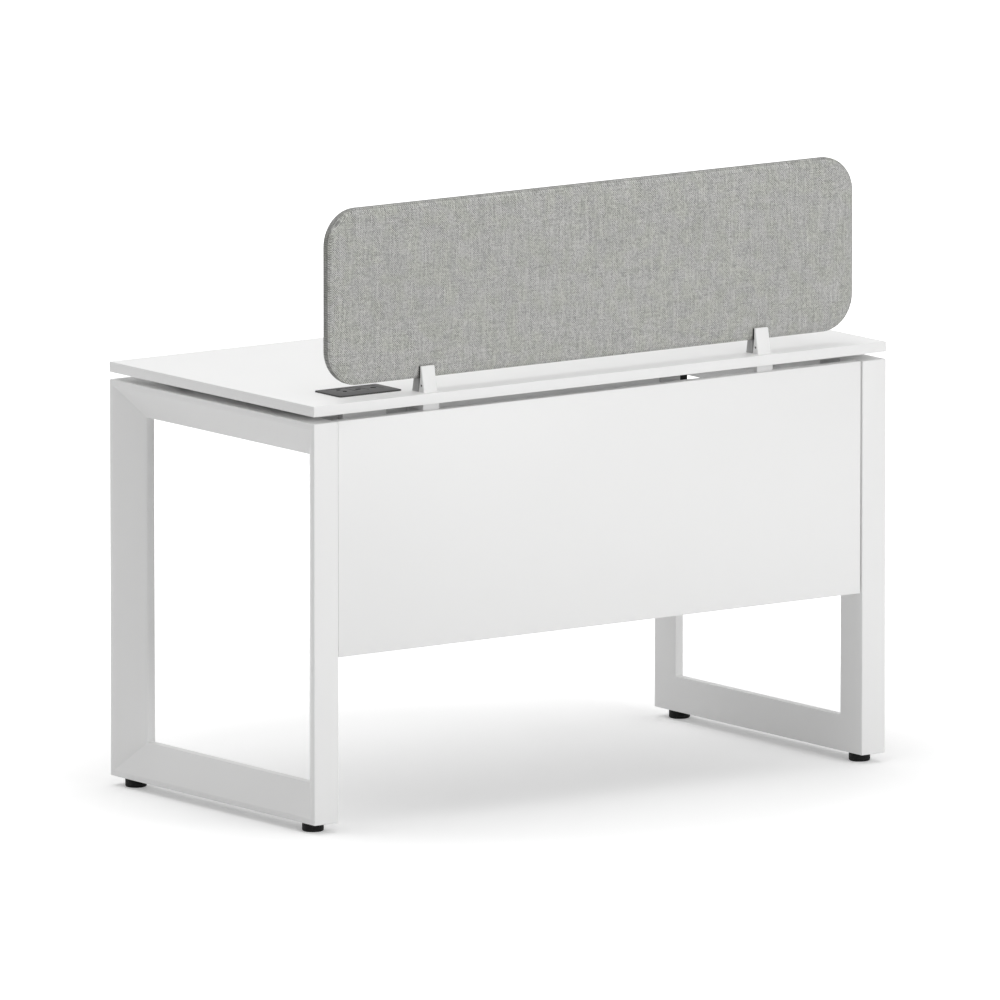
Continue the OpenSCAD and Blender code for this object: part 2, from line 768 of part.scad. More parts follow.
// Board inside the screen
module screen_core() {
    color("tan") difference() {
        rounded_plate(screen_w - 2 * cover_t - 2 * seat_gap, screen_h - 2 * cover_t - 2 * seat_gap,
                      screen_r - cover_t, screen_z0 + cover_t + seat_gap, core_y0, core_y1);
        both_sides() rod_y([bracket_x, core_y1 - screen_insert_l, desk_h + screen_screw_z],
                           screen_insert_r + fit_gap, screen_insert_l + overrun);
    }
}

module screen_inserts() {
    color("goldenrod") both_sides() difference() {
        rod_y([bracket_x, core_y1 - screen_insert_l, desk_h + screen_screw_z],
              screen_insert_r, screen_insert_l);
        rod_y([bracket_x, core_y1 - screen_insert_l - overrun, desk_h + screen_screw_z],
              screen_screw_r + fit_gap, screen_insert_l + 2 * overrun);
    }
}

// Section of a cover across a length l: flat inside, rounded at both outer edges
function cover_section(l) = [
    [-l / 2, 0],
    each corner_points([-l / 2, 0], [-l / 2, cover_t], [l / 2, cover_t], rim_r),
    each corner_points([-l / 2, cover_t], [l / 2, cover_t], [l / 2, 0], rim_r),
    [l / 2, 0]
];

// Half section of a cover's round corner
corner_section = [
    [0, 0],
    [0, cover_t],
    each corner_points([0, cover_t], [screen_r, cover_t], [screen_r, 0], rim_r),
    [screen_r, 0]
];

// Padded cover with rounded corners and a rounded rim, flat at y = 0 and crowned towards +Y
module padded_cover() {
    mid_w = screen_w - 2 * screen_r;
    mid_h = screen_h - 2 * screen_r;
    translate([0, 0, screen_z0]) {
        translate([0, 0, screen_r]) linear_extrude(height = mid_h) polygon(cover_section(screen_w));
        translate([-mid_w / 2, 0, screen_h / 2]) rotate([0, 90, 0]) linear_extrude(height = mid_w)
            polygon(cover_section(screen_h));
        for (x = [-mid_w / 2, mid_w / 2], z = [screen_r, screen_h - screen_r])
            translate([x, 0, z]) rotate([-90, 0, 0]) rotate_extrude($fn = round_fn) polygon(corner_section);
    }
}

module screen_front_cover() {
    color("darkgray") translate([0, screen_y0 + cover_t, 0]) mirror([0, 1, 0]) padded_cover();
}

module screen_rear_cover() {
    color("darkgray") difference() {
        translate([0, screen_y1 - cover_t, 0]) padded_cover();
        both_sides() rod_y([bracket_x, screen_y1 - cover_t - overrun, desk_h + screen_screw_z],
                           screen_screw_r + seat_gap, cover_t + 2 * overrun);
    }
}

// Fabric strip round the screen's edge, between the two covers
module screen_edge_cover() {
    color("gray") difference() {
        rounded_plate(screen_w, screen_h, screen_r, screen_z0, core_y0, core_y1);
        rounded_plate(screen_w - 2 * cover_t, screen_h - 2 * cover_t, screen_r - cover_t,
                      screen_z0 + cover_t, core_y0 - overrun, core_y1 + overrun);
    }
}

insert_y = power_y + insert_shift_y;

// Opening or body of an insert in the bezel
module insert_block(x, w, gap, z0, z1) {
    span([x - w / 2 - gap, insert_y - insert_d / 2 - gap, z0],
         [x + w / 2 + gap, insert_y + insert_d / 2 + gap, z1]);
}

module power_bezel() {
    color("dimgray") difference() {
        translate([power_x, power_y, desk_h]) {
            span([-bezel_w / 2 + bezel_r, -bezel_d / 2, 0], [bezel_w / 2 - bezel_r, bezel_d / 2, bezel_t]);
            span([-bezel_w / 2, -bezel_d / 2 + bezel_r, 0], [bezel_w / 2, bezel_d / 2 - bezel_r, bezel_t]);
            for (x = [-1, 1], y = [-1, 1])
                rod_z([x * (bezel_w / 2 - bezel_r), y * (bezel_d / 2 - bezel_r), 0], bezel_r, bezel_t);
        }
        insert_block(socket_x, socket_w, fit_gap, desk_h - overrun, desk_h + bezel_t + overrun);
        for (x = port_x) insert_block(x, port_w, fit_gap, desk_h - overrun, desk_h + bezel_t + overrun);
    }
}

insert_z1 = desk_h + bezel_t - insert_sink;

// Socket insert: two round pin holes in line with the desk's depth, and an earth hole
module socket_insert() {
    color("dimgray") difference() {
        insert_block(socket_x, socket_w, 0, insert_z1 - insert_t, insert_z1);
        for (s = [-1, 1])
            rod_z([socket_x, insert_y + s * pin_pitch / 2, insert_z1 - pin_depth], pin_r,
                  pin_depth + overrun);
        rod_z([socket_x + pin_pitch / 2, insert_y, insert_z1 - pin_depth], earth_r, pin_depth + overrun);
    }
}

module port_inserts() {
    color("dimgray") for (x = port_x) difference() {
        insert_block(x, port_w, 0, insert_z1 - insert_t, insert_z1);
        for (s = [-1, 1])
            rod_z([x + s * (port_l - port_h) / 2, insert_y + port_rise, insert_z1 - pin_depth],
                  port_h / 2, pin_depth + overrun);
        span([x - (port_l - port_h) / 2, insert_y + port_rise - port_h / 2, insert_z1 - pin_depth],
             [x + (port_l - port_h) / 2, insert_y + port_rise + port_h / 2, insert_z1 + overrun]);
    }
}

// Open-topped housing that hangs through the worktop
module power_housing() {
    color("lightgray") difference() {
        span([power_x - housing_w / 2, power_y - housing_d / 2, desk_h - housing_h],
             [power_x + housing_w / 2, power_y + housing_d / 2, desk_h]);
        span([power_x - housing_w / 2 + housing_t, power_y - housing_d / 2 + housing_t,
              desk_h - housing_h + housing_t],
             [power_x + housing_w / 2 - housing_t, power_y + housing_d / 2 - housing_t, desk_h + overrun]);
    }
}

inlet_x = power_x - housing_w / 2;
inlet_z = desk_h - housing_h + inlet_rise;

// Mains inlet on the housing's end: a walled recess with three pins
module power_inlet() {
    color("black") {
        for (s = [-1, 0, 1])
            rod_x([inlet_x - inlet_floor - inlet_pin_l, power_y + s * inlet_pin_pitch, inlet_z + inlet_h / 2],
                  inlet_pin_r, inlet_pin_l + inlet_floor);
        difference() {
            span([inlet_x - inlet_l, power_y - inlet_w / 2, inlet_z],
                 [inlet_x, power_y + inlet_w / 2, inlet_z + inlet_h]);
            span([inlet_x - inlet_l - overrun, power_y - inlet_w / 2 + inlet_wall, inlet_z + inlet_wall],
                 [inlet_x - inlet_floor, power_y + inlet_w / 2 - inlet_wall, inlet_z + inlet_h - inlet_wall]);
        }
    }
}

// Toes that clamp the housing under the worktop
module power_clamps() {
    color("silver") for (s = [-1, 1]) {
        clamp_y = power_y + s * (housing_d / 2 + clamp_l / 2);
        span([power_x + clamp_x - clamp_w / 2, clamp_y - clamp_l / 2, board_z0 - clamp_h],
             [power_x + clamp_x + clamp_w / 2, clamp_y + clamp_l / 2, board_z0]);
    }
}

// Sheet tray with a turned-in lip along its front wall
module cable_tray() {
    color("silver") translate([tray_x0, 0, 0]) rotate([90, 0, 90])
        linear_extrude(height = tray_x1 - tray_x0) polygon([
            [tray_y0, tray_z2],
            [tray_y0, tray_z0],
            [tray_y1, tray_z0],
            [tray_y1, tray_z1],
            [tray_y1 - tray_t, tray_z1],
            [tray_y1 - tray_t, tray_z0 + tray_t],
            [tray_y0 + tray_t, tray_z0 + tray_t],
            [tray_y0 + tray_t, tray_z2 - tray_t],
            [tray_y0 + tray_lip, tray_z2 - tray_t],
            [tray_y0 + tray_lip, tray_z2]
        ]);
}

// Black end cap that sleeves over the tray's left end, with a cable slot
module tray_end_cap() {
    color("black") difference() {
        span([tray_x0 - cap_t, tray_y0 - cap_t, tray_z0 - cap_t],
             [tray_x0 - cap_t + cap_skirt, tray_y1 + cap_t, tray_z1]);
        span([tray_x0, tray_y0, tray_z0], [tray_x0 + cap_skirt, tray_y1, tray_z1 + overrun]);
        span([tray_x0 - cap_t - overrun, (tray_y0 + tray_y1 - cap_slot_w) / 2, tray_z1 - cap_slot_h],
             [tray_x0 + overrun, (tray_y0 + tray_y1 + cap_slot_w) / 2, tray_z1 + overrun]);
    }
}

tray_screw_places = [for (x = hanger_x, y = [tray_y0 - hanger_foot / 2, tray_y1 + hanger_foot / 2]) [x, y]];

// Angle hangers: a leg on the tray's wall and a foot under the worktop
module tray_hangers() {
    color("gray") difference() {
        for (x = hanger_x) {
            for (y = [tray_y0 - sheet_t, tray_y1])
                span([x - hanger_w / 2, y, board_z0 - hanger_drop],
                     [x + hanger_w / 2, y + sheet_t, board_z0]);
            for (y = [tray_y0 - hanger_foot, tray_y1])
                span([x - hanger_w / 2, y, board_z0 - sheet_t],
                     [x + hanger_w / 2, y + hanger_foot, board_z0]);
        }
        for (p = tray_screw_places)
            rod_z([p[0], p[1], board_z0 - sheet_t - overrun], small_screw_r + fit_gap, sheet_t + 2 * overrun);
    }
}

module tray_screws() {
    color("silver") for (p = tray_screw_places) {
        rod_z([p[0], p[1], board_z0 - sheet_t - small_head_t], small_head_r, small_head_t);
        rod_z([p[0], p[1], board_z0 - sheet_t - small_head_t], small_screw_r,
              small_head_t + sheet_t + tray_screw_bite);
    }
}

worktop_board();
worktop_edge_bands();
right_front_post();
right_rear_post();
right_top_rail();
right_bottom_rail();
left_front_post();
left_rear_post();
left_top_rail();
left_bottom_rail();
foot_inserts();
front_right_foot_pad();
rear_right_foot_pad();
front_left_foot_pad();
rear_left_foot_pad();
front_right_foot_stud();
rear_right_foot_stud();
front_left_foot_stud();
rear_left_foot_stud();
right_side_channel();
left_side_channel();
channel_bolts();
front_beam();
rear_beam();
beam_end_plates();
beam_bolts();
worktop_spacers();
worktop_screws();
modesty_board();
modesty_edge_bands();
modesty_angles();
modesty_screws();
hanger_blocks();
hanger_screws();
right_bracket_base();
left_bracket_base();
right_bracket_cheek();
left_bracket_cheek();
bracket_pads();
bracket_grub_screws();
bracket_bolts();
screen_screws();
screen_core();
screen_inserts();
screen_front_cover();
screen_rear_cover();
screen_edge_cover();
power_bezel();
socket_insert();
port_inserts();
power_housing();
power_inlet();
power_clamps();
cable_tray();
tray_end_cap();
tray_hangers();
tray_screws();
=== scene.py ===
import json
import math

import bmesh
import bpy
from mathutils import Matrix, Vector


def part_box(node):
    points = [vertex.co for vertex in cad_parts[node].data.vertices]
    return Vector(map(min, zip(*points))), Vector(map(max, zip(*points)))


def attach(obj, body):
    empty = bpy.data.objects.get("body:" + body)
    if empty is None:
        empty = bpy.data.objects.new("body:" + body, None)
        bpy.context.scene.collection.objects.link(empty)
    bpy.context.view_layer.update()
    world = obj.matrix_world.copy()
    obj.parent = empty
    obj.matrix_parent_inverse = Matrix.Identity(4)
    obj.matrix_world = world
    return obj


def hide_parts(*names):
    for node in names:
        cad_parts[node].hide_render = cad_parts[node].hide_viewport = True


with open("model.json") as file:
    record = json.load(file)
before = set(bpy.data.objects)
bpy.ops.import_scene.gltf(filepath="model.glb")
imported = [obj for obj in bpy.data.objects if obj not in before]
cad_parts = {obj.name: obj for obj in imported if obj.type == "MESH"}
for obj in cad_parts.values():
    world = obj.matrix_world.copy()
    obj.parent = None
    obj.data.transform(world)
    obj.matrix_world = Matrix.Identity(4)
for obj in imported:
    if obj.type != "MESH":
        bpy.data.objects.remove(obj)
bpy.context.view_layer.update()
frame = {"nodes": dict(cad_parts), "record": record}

# Camera, solved from the photograph: a long lens from behind and above the desk's left-hand end.
CAMERA_PLACE = (20.8249, 28.7577, 6.3679)
CAMERA_HEADING = math.radians(144.087)
CAMERA_TILT = math.radians(90 - 9.4263)
CAMERA_LENS = 759.7
CAMERA_SENSOR = 36.0

# Small roundings, in metres.
BOARD_ROUND = 0.00025
BAND_ROUND = 0.0007
FRAME_ROUND = 0.0018
FRAME_CREASE = 0.0008
BRACKET_ROUND = 0.0016
BASE_ROUND = 0.0012
SMALL_ROUND = 0.0004

# Two places nearer than this count as one.
NEAR = 0.00001
# Corners of a CAD solid nearer than this are one corner.
WELD = 0.000002
# A full rounding stops this short of half the width.
HAIR = 0.000001

# Worktop: room round the power unit in its cut-out.
CUT_SLACK = 0.001

# Leg frames: width of the flat rim, depth of the bars, thickness of the opening's wall, where creases start.
RIM_WIDTH = 0.010
BAR_DEPTH = 0.062
OPENING_WALL = 0.016
CREASE_REACH = 0.004

# Feet: the dished top round the screw's well, the hollow sole, and the roundings below and above.
DISH_RIM = 0.007
DISH_DEPTH = 0.0015
WELL_RIM = 0.0068
WELL_DEPTH = 0.006
SOLE_RIM = 0.006
SOLE_SLOPE = 0.0025
SOLE_HOLLOW = 0.001
SOLE_ROUND = 0.0032
SHOULDER_ROUND = 0.001
STUD_ROUND = 0.0003

# Screen: corner radius, padding, edge strip and welts.
SCREEN_CORNER = 0.062
PAD_RISE = 0.0009
PAD_INSET = 0.0006
PAD_BACK = 0.008
PAD_RIM = 0.0030
PAD_VOXEL = 0.005
PAD_FRAMES = 20
STRIP_WALL = 0.0036
STRIP_ROUND = 0.0011
WELT_RADIUS = 0.00065
WELT_WALL = 0.0025
WELT_ROUND = 0.95 * WELT_RADIUS

# Weave: thread spacing, slubs per metre along a thread, and how much each pattern darkens or lightens it; the
# hollow-shade pattern is painted shade where the threads dip between crossings.
THREAD = 0.00195
THREAD_STEP = 7.317
WARP_SEED = 3.1
WEFT_SEED = 11.7
WARP_SLUB = 15.0
WEFT_SLUB = 22.0
WARP_CONTRAST = 0.85
WEFT_CONTRAST = 0.5
FLOAT_CONTRAST = 0.5
PATCH_CONTRAST = 0.06
PATCH_SCALE = 22.0
HOLLOW_SHADE_CONTRAST = 0.3
CHECK_CONTRAST = 0.6
CHECK_BLEND = 0.25
FIBRE_CONTRAST = 0.35
FIBRE_SCALE = 2400.0
WARM_TINT = (0.985, 1.0, 0.945, 1)
WARM_SCALE = 34.0

# Screen brackets: where the base ends under the screen, its lean, the cheek's top, the pad and side screws;
# the pad's lap and proud sides are painted shade, a dark strip for the shadow gap at the cheek.
BASE_TOP = 0.0227
BASE_LEAN = 0.004
CHEEK_TOP = 0.004
PAD_SHADE_LAP = 0.0012
PAD_PROUD = 0.00015
GRUB_SLACK = 0.0001
GRUB_CUT = 0.001

# Power unit: its plate's corners and edges, and its openings with the black rings round them, which are
# painted shade that widens each opening's dark.
PLATE_CORNER = 0.004
PIN_RADIUS = 0.0026
PIN_PITCH = 0.019
PORT_WIDTH = 0.0225
PORT_LENGTH = 0.0086
PORT_HEIGHT = 0.003
PORT_RISE = 0.003
SURROUND_WIDTH = 0.001
SURROUND_RISE = 0.0003
PLATE_ROUND = 0.0008
WINDOW_SLACK = 0.0001

# Screw heads: shares of the head's radius or depth that go to its recess, its rounding and its cross's arms.
KEY_SHARE = 0.46
KEY_MARGIN = 1.05
HEAD_ROUND_SHARE = 0.18
KEY_DEPTH_SHARE = 0.6
CROSS_CORNER_SHARE = 0.42
CROSS_ARM_ANGLE = 16
SHANK_TIP_SHARE = 0.3

# Stitches along the screen's seams.
STITCH_RADIUS = 0.00022
STITCH_LENGTH = 0.0026
STITCH_PITCH = 0.0042
STITCH_SHIFT = 0.0026
STITCH_RISE = 0.00005

# Studio: even light of the world, its lean towards the top, two softboxes, and the floor's glow.
WORLD_LIGHT = 0.414
WORLD_LEAN = (0.0, 0.0, 0.11)
TOP_PLACE = (0.25, -0.35, 4.2)
TOP_AIM = (0, 0, 0.4)
TOP_SIZE = (4.0, 4.0)
TOP_POWER = 94
REAR_PLACE = (-1.1, 5.4, 2.05)
REAR_AIM = (0, 0, 0.5)
REAR_SIZE = (3.5, 3.0)
REAR_POWER = 98
FLOOR_SIZE = 60
FLOOR_WHITE = 0.9
FLOOR_GLOW = 0.2
FAR_GLOW = 1.0
GLOW_START = 0.6
GLOW_END = 2.2


def clear_selection():
    if bpy.context.object and bpy.context.object.mode != "OBJECT":
        bpy.ops.object.mode_set(mode="OBJECT")
    bpy.ops.object.select_all(action="DESELECT")


def select_only(piece):
    clear_selection()
    piece.select_set(True)
    bpy.context.view_layer.objects.active = piece


def new_piece(name, mesh):
    piece = bpy.data.objects.new(name, mesh)
    bpy.context.collection.objects.link(piece)
    return piece


def corners_of(points):
    """Lowest and highest corners of the box round some points."""
    low = Vector([min(p[i] for p in points) for i in range(3)])
    high = Vector([max(p[i] for p in points) for i in range(3)])
    return low, high


def new_block(name, low, high):
    """A block between two corners, with its object at the origin."""
    clear_selection()
    low, high = Vector(low), Vector(high)
    bpy.ops.mesh.primitive_cube_add(size=1, location=(low + high) / 2)
    block = bpy.context.object
    block.name = name
    block.data.name = name
    block.scale = high - low
    bpy.ops.object.transform_apply(location=True, rotation=True, scale=True)
    return block


def new_puck(name, centre, radius, depth, axis="Z", sides=48):
    """A round from its centre, lying along an axis, with its object at the origin."""
    clear_selection()
    turn = {"X": (0, math.radians(90), 0), "Z": (0, 0, 0)}[axis]
    bpy.ops.mesh.primitive_cylinder_add(vertices=sides, radius=radius, depth=depth,
                                        location=centre, rotation=turn)
    puck = bpy.context.object
    puck.name = name
    puck.data.name = name
    bpy.ops.object.transform_apply(location=True, rotation=True, scale=True)
    return puck


def pick(piece, kind, wanted):
    """In edit mode, selects the faces or edges that pass a test, and nothing else."""
    select_only(piece)
    bpy.ops.object.mode_set(mode="EDIT")
    bpy.ops.mesh.select_mode(type=kind)
    bpy.ops.mesh.select_all(action="DESELECT")
    mesh = bmesh.from_edit_mesh(piece.data)
    for item in mesh.faces if kind == "FACE" else mesh.edges:
        if wanted(item):
            item.select_set(True)
    mesh.select_flush_mode()
    bmesh.update_edit_mesh(piece.data)


def middle(edge):
    return (edge.verts[0].co + edge.verts[1].co) / 2


def depth_in_box(point, low, high, axes):
    """How far a point lies inside the nearest of a box's sides, across some axes."""
    return min(min(point[i] - low[i], high[i] - point[i]) for i in axes)


def depth_in_outline(point, low, high, corner):
    """How far a point lies inside a rounded outline in the XZ plane."""
    dx = depth_in_box(point, low, high, (0,))
    dz = depth_in_box(point, low, high, (2,))
    if dx < corner and dz < corner:
        return corner - math.hypot(corner - dx, corner - dz)
    return min(dx, dz)


def along(edge, axis):
    """True if an edge runs along one axis."""
    run = edge.verts[1].co - edge.verts[0].co
    return abs(run[axis]) > 0.99 * run.length


def round_picked(width, steps=3):
    bpy.ops.mesh.bevel(offset=width, segments=steps, affect="EDGES", clamp_overlap=True)
    bpy.ops.object.mode_set(mode="OBJECT")


def bridge_rims(piece, wanted=lambda e: True):
    """Walls an opening between the open rims that pass a test."""
    pick(piece, "EDGE", lambda e: e.is_boundary and wanted(e))
    bpy.ops.mesh.bridge_edge_loops()


def slice_at(piece, axis, at):
    """Cuts every face of a piece along a plane, and keeps both sides."""
    pick(piece, "FACE", lambda f: True)
    spot, normal = [0, 0, 0], [0, 0, 0]
    spot[axis], normal[axis] = at, 1
    bpy.ops.mesh.bisect(plane_co=spot, plane_no=normal)


def finish_mesh(piece, angle=40):
    """Welds a piece, turns its faces outwards and shades it smooth up to an angle."""
    select_only(piece)
    bpy.ops.object.mode_set(mode="EDIT")
    bpy.ops.mesh.select_all(action="SELECT")
    bpy.ops.mesh.remove_doubles(threshold=NEAR)
    bpy.ops.mesh.normals_make_consistent(inside=False)
    bpy.ops.object.mode_set(mode="OBJECT")
    bpy.ops.object.shade_smooth_by_angle(angle=math.radians(angle))
    return piece


def place(piece, body, material, slot, *nodes):
    """Gives a finished piece its body, finish and the CAD nodes that it stands for."""
    piece.data.materials.clear()
    piece.data.materials.append(material)
    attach(piece, body)
    if nodes:
        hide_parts(*nodes)


def join(name, pieces):
    clear_selection()
    for piece in pieces:
        piece.select_set(True)
    bpy.context.view_layer.objects.active = pieces[0]
    bpy.ops.object.join()
    pieces[0].name = name
    pieces[0].data.name = name
    return pieces[0]


def softened(node, material, slot, rounding=SMALL_ROUND, body="desk"):
    """A merged copy of a CAD node with its edges eased."""
    piece = new_piece(node + "_eased", frame["nodes"][node].data.copy())
    select_only(piece)
    bpy.ops.object.mode_set(mode="EDIT")
    bpy.ops.mesh.select_all(action="SELECT")
    bpy.ops.mesh.remove_doubles(threshold=WELD)
    bpy.ops.mesh.dissolve_limited(angle_limit=math.radians(1.0))
    bpy.ops.object.mode_set(mode="OBJECT")
    ease = piece.modifiers.new("ease", "BEVEL")
    ease.width = rounding
    ease.segments = 2
    ease.limit_method = "ANGLE"
    ease.angle_limit = math.radians(40)
    bpy.ops.object.modifier_apply(modifier=ease.name)
    bpy.ops.object.shade_smooth_by_angle(angle=math.radians(30))
    place(piece, body, material, slot, node)


def fastener(name, size, cross=False):
    """A screw that points along -Z from its head's outer face, with a hex or a cross recess."""
    head_radius, head_depth, shank_radius, length = size
    key = head_radius * KEY_SHARE
    screw = new_puck(name, (0, 0, -head_depth / 2), head_radius, head_depth, sides=24)
    pick(screw, "EDGE", lambda e: middle(e).z > -NEAR and e.calc_face_angle(0) > 1)
    bpy.ops.mesh.bevel(offset=head_radius * HEAD_ROUND_SHARE, segments=3, affect="EDGES")
    bpy.ops.object.mode_set(mode="OBJECT")
    pick(screw, "FACE", lambda f: f.normal.z > 0.99)
    bpy.ops.mesh.inset(thickness=head_radius * (1 - HEAD_ROUND_SHARE) - key * KEY_MARGIN)
    mesh = bmesh.from_edit_mesh(screw.data)
    for v in {v for f in mesh.faces if f.select for v in f.verts}:
        turn = math.degrees(math.atan2(v.co.y, v.co.x))
        if cross:
            arm = abs((turn + 45) % 90 - 45) < CROSS_ARM_ANGLE
            reach = key if arm else key * CROSS_CORNER_SHARE
        else:
            reach = key * math.cos(math.radians(30)) / math.cos(math.radians((turn + 30) % 60 - 30))
        v.co.xy = Vector((math.cos(math.radians(turn)), math.sin(math.radians(turn)))) * reach
    bmesh.update_edit_mesh(screw.data)
    bpy.ops.mesh.extrude_region_move(TRANSFORM_OT_translate={"value": (0, 0, -head_depth * KEY_DEPTH_SHARE)})
    pick(screw, "FACE", lambda f: f.normal.z < -0.99)
    bpy.ops.mesh.inset(thickness=head_radius - shank_radius)
    bpy.ops.mesh.extrude_region_move(TRANSFORM_OT_translate={"value": (0, 0, head_depth - length)})
    bpy.ops.mesh.inset(thickness=shank_radius * SHANK_TIP_SHARE)
    bpy.ops.transform.translate(value=(0, 0, -shank_radius * SHANK_TIP_SHARE))
    bpy.ops.object.mode_set(mode="OBJECT")
    return finish_mesh(screw, 35)


class Finish:
    """A material being put together from nodes, with its pattern on Object coordinates."""

    def __init__(self, name, colour, roughness, metallic=0.0, specular=0.5):
        self.material = bpy.data.materials.new(name)
        self.material.use_nodes = True
        self.nodes = self.material.node_tree.nodes
        self.links = self.material.node_tree.links
        self.shader = self.nodes["Principled BSDF"]
        self.shader.inputs["Base Color"].default_value = (*colour, 1)
        self.shader.inputs["Roughness"].default_value = roughness
        self.shader.inputs["Metallic"].default_value = metallic
        self.shader.inputs["Specular IOR Level"].default_value = specular
        self.place = self.nodes.new("ShaderNodeTexCoord").outputs["Object"]

    def split_place(self):
        node = self.nodes.new("ShaderNodeSeparateXYZ")
        self.links.new(self.place, node.inputs["Vector"])
        return node.outputs["X"], node.outputs["Y"], node.outputs["Z"]

    def stretch(self, scale):
        node = self.nodes.new("ShaderNodeMapping")
        node.inputs["Scale"].default_value = scale
        self.links.new(self.place, node.inputs["Vector"])
        return node.outputs["Vector"]

    def spot(self, first, second, third=0.0):
        """A place put together from two worked values and a fixed third."""
        node = self.nodes.new("ShaderNodeCombineXYZ")
        self.links.new(first, node.inputs["X"])
        self.links.new(second, node.inputs["Y"])
        node.inputs["Z"].default_value = third
        return node.outputs["Vector"]

    def noise(self, scale, detail=3.0, roughness=0.5, where=None):
        node = self.nodes.new("ShaderNodeTexNoise")
        node.inputs["Scale"].default_value = scale
        node.inputs["Detail"].default_value = detail
        node.inputs["Roughness"].default_value = roughness
        self.links.new(where or self.place, node.inputs["Vector"])
        return node.outputs["Fac"]

    def span(self, value, low, high, start=0.0, end=1.0):
        node = self.nodes.new("ShaderNodeMapRange")
        node.inputs["From Min"].default_value = start
        node.inputs["From Max"].default_value = end
        node.inputs["To Min"].default_value = low
        node.inputs["To Max"].default_value = high
        self.links.new(value, node.inputs["Value"])
        return node.outputs["Result"]

    def work(self, operation, first, second=None):
        """The result of a Math node: a number is set on its socket, and anything else is linked to it."""
        node = self.nodes.new("ShaderNodeMath")
        node.operation = operation
        for socket, value in zip(node.inputs, (first, second)):
            if value is None:
                continue
            if isinstance(value, (int, float)):
                socket.default_value = value
            else:
                self.links.new(value, socket)
        return node.outputs["Value"]

    def tint(self, factor, dark, light):
        node = self.nodes.new("ShaderNodeMix")
        node.data_type = "RGBA"
        node.inputs["A"].default_value = (*dark, 1)
        node.inputs["B"].default_value = (*light, 1)
        self.links.new(factor, node.inputs["Factor"])
        return node.outputs["Result"]

    def paint(self, colour):
        self.links.new(colour, self.shader.inputs["Base Color"])
        return self

    def dull(self, roughness):
        self.links.new(roughness, self.shader.inputs["Roughness"])
        return self

    def bump(self, height, strength, distance):
        node = self.nodes.new("ShaderNodeBump")
        node.inputs["Strength"].default_value = strength
        node.inputs["Distance"].default_value = distance
        self.links.new(height, node.inputs["Height"])
        self.links.new(node.outputs["Normal"], self.shader.inputs["Normal"])
        return self


def grey(level):
    return level, level, level


def shade(colour, factor):
    return tuple(min(1.0, c * factor) for c in colour)


def laminate(name, colour):
    """White melamine: a faint pearl grain and a slight cloudiness."""
    finish = Finish(name, colour, 0.38)
    cloud = finish.noise(3.0, detail=2.0)
    finish.paint(finish.tint(cloud, shade(colour, 0.985), shade(colour, 1.01)))
    grain = finish.noise(900.0, detail=2.0, roughness=0.6)
    finish.dull(finish.span(grain, 0.32, 0.46))
    return finish.bump(grain, strength=0.10, distance=0.00006).material


def powder_coat(name, colour, grain_scale=650.0):
    """Powder coat: fine orange peel with a few soft waves."""
    finish = Finish(name, colour, 0.42)
    cloud = finish.noise(4.0, detail=2.0)
    finish.paint(finish.tint(cloud, shade(colour, 0.98), shade(colour, 1.015)))
    peel = finish.noise(grain_scale, detail=2.0, roughness=0.55)
    finish.dull(finish.span(finish.noise(60.0), 0.36, 0.5))
    return finish.bump(peel, strength=0.16, distance=0.00009).material


def moulded_plastic(name, colour, roughness=0.5, grain=0.25, specular=0.5):
    """Moulded plastic with a fine spark-eroded grain."""
    finish = Finish(name, colour, roughness, specular=specular)
    spots = finish.noise(1600.0, detail=2.0, roughness=0.6)
    finish.paint(finish.tint(finish.noise(25.0), shade(colour, 0.9), shade(colour, 1.1)))
    finish.dull(finish.span(spots, roughness - 0.06, roughness + 0.08))
    return finish.bump(spots, strength=grain, distance=0.00008).material


def plated_steel(name, colour, roughness=0.34):
    """Zinc-plated steel with drawn streaks and a mottled sheen."""
    finish = Finish(name, colour, roughness, metallic=1.0)
    streak = finish.noise(300.0, detail=3.0, roughness=0.6, where=finish.stretch((1.0, 1.0, 0.15)))
    finish.paint(finish.tint(finish.noise(120.0, detail=4.0), shade(colour, 0.82), shade(colour, 1.12)))
    finish.dull(finish.span(streak, roughness - 0.08, roughness + 0.14))
    return finish.bump(streak, strength=0.12, distance=0.00005).material


def threaded_steel(name, colour, pitch):
    """Plated steel with a turned thread along its length, drawn as a bump, with painted shade in the grooves
    and a faint painted highlight on the crests.
    """
    finish = Finish(name, colour, 0.36, metallic=1.0)
    height = finish.split_place()[2]
    turn = finish.work("MULTIPLY", height, 2 * math.pi / pitch)
    ridge = finish.work("SINE", turn)
    # Painted shade and highlight: the colour darkens towards each groove of the thread and lightens a little
    # on each crest.
    finish.paint(finish.tint(finish.span(ridge, 0, 1, -1, 1), shade(colour, 0.55), shade(colour, 1.1)))
    return finish.bump(ridge, strength=0.9, distance=0.0003).material


def raw_board(name, colour):
    finish = Finish(name, colour, 0.85)
    chips = finish.noise(420.0, detail=5.0, roughness=0.7)
    finish.paint(finish.tint(finish.span(chips, 0, 1, 0.3, 0.7), shade(colour, 0.7), shade(colour, 1.25)))
    return finish.bump(chips, strength=0.4, distance=0.0002).material


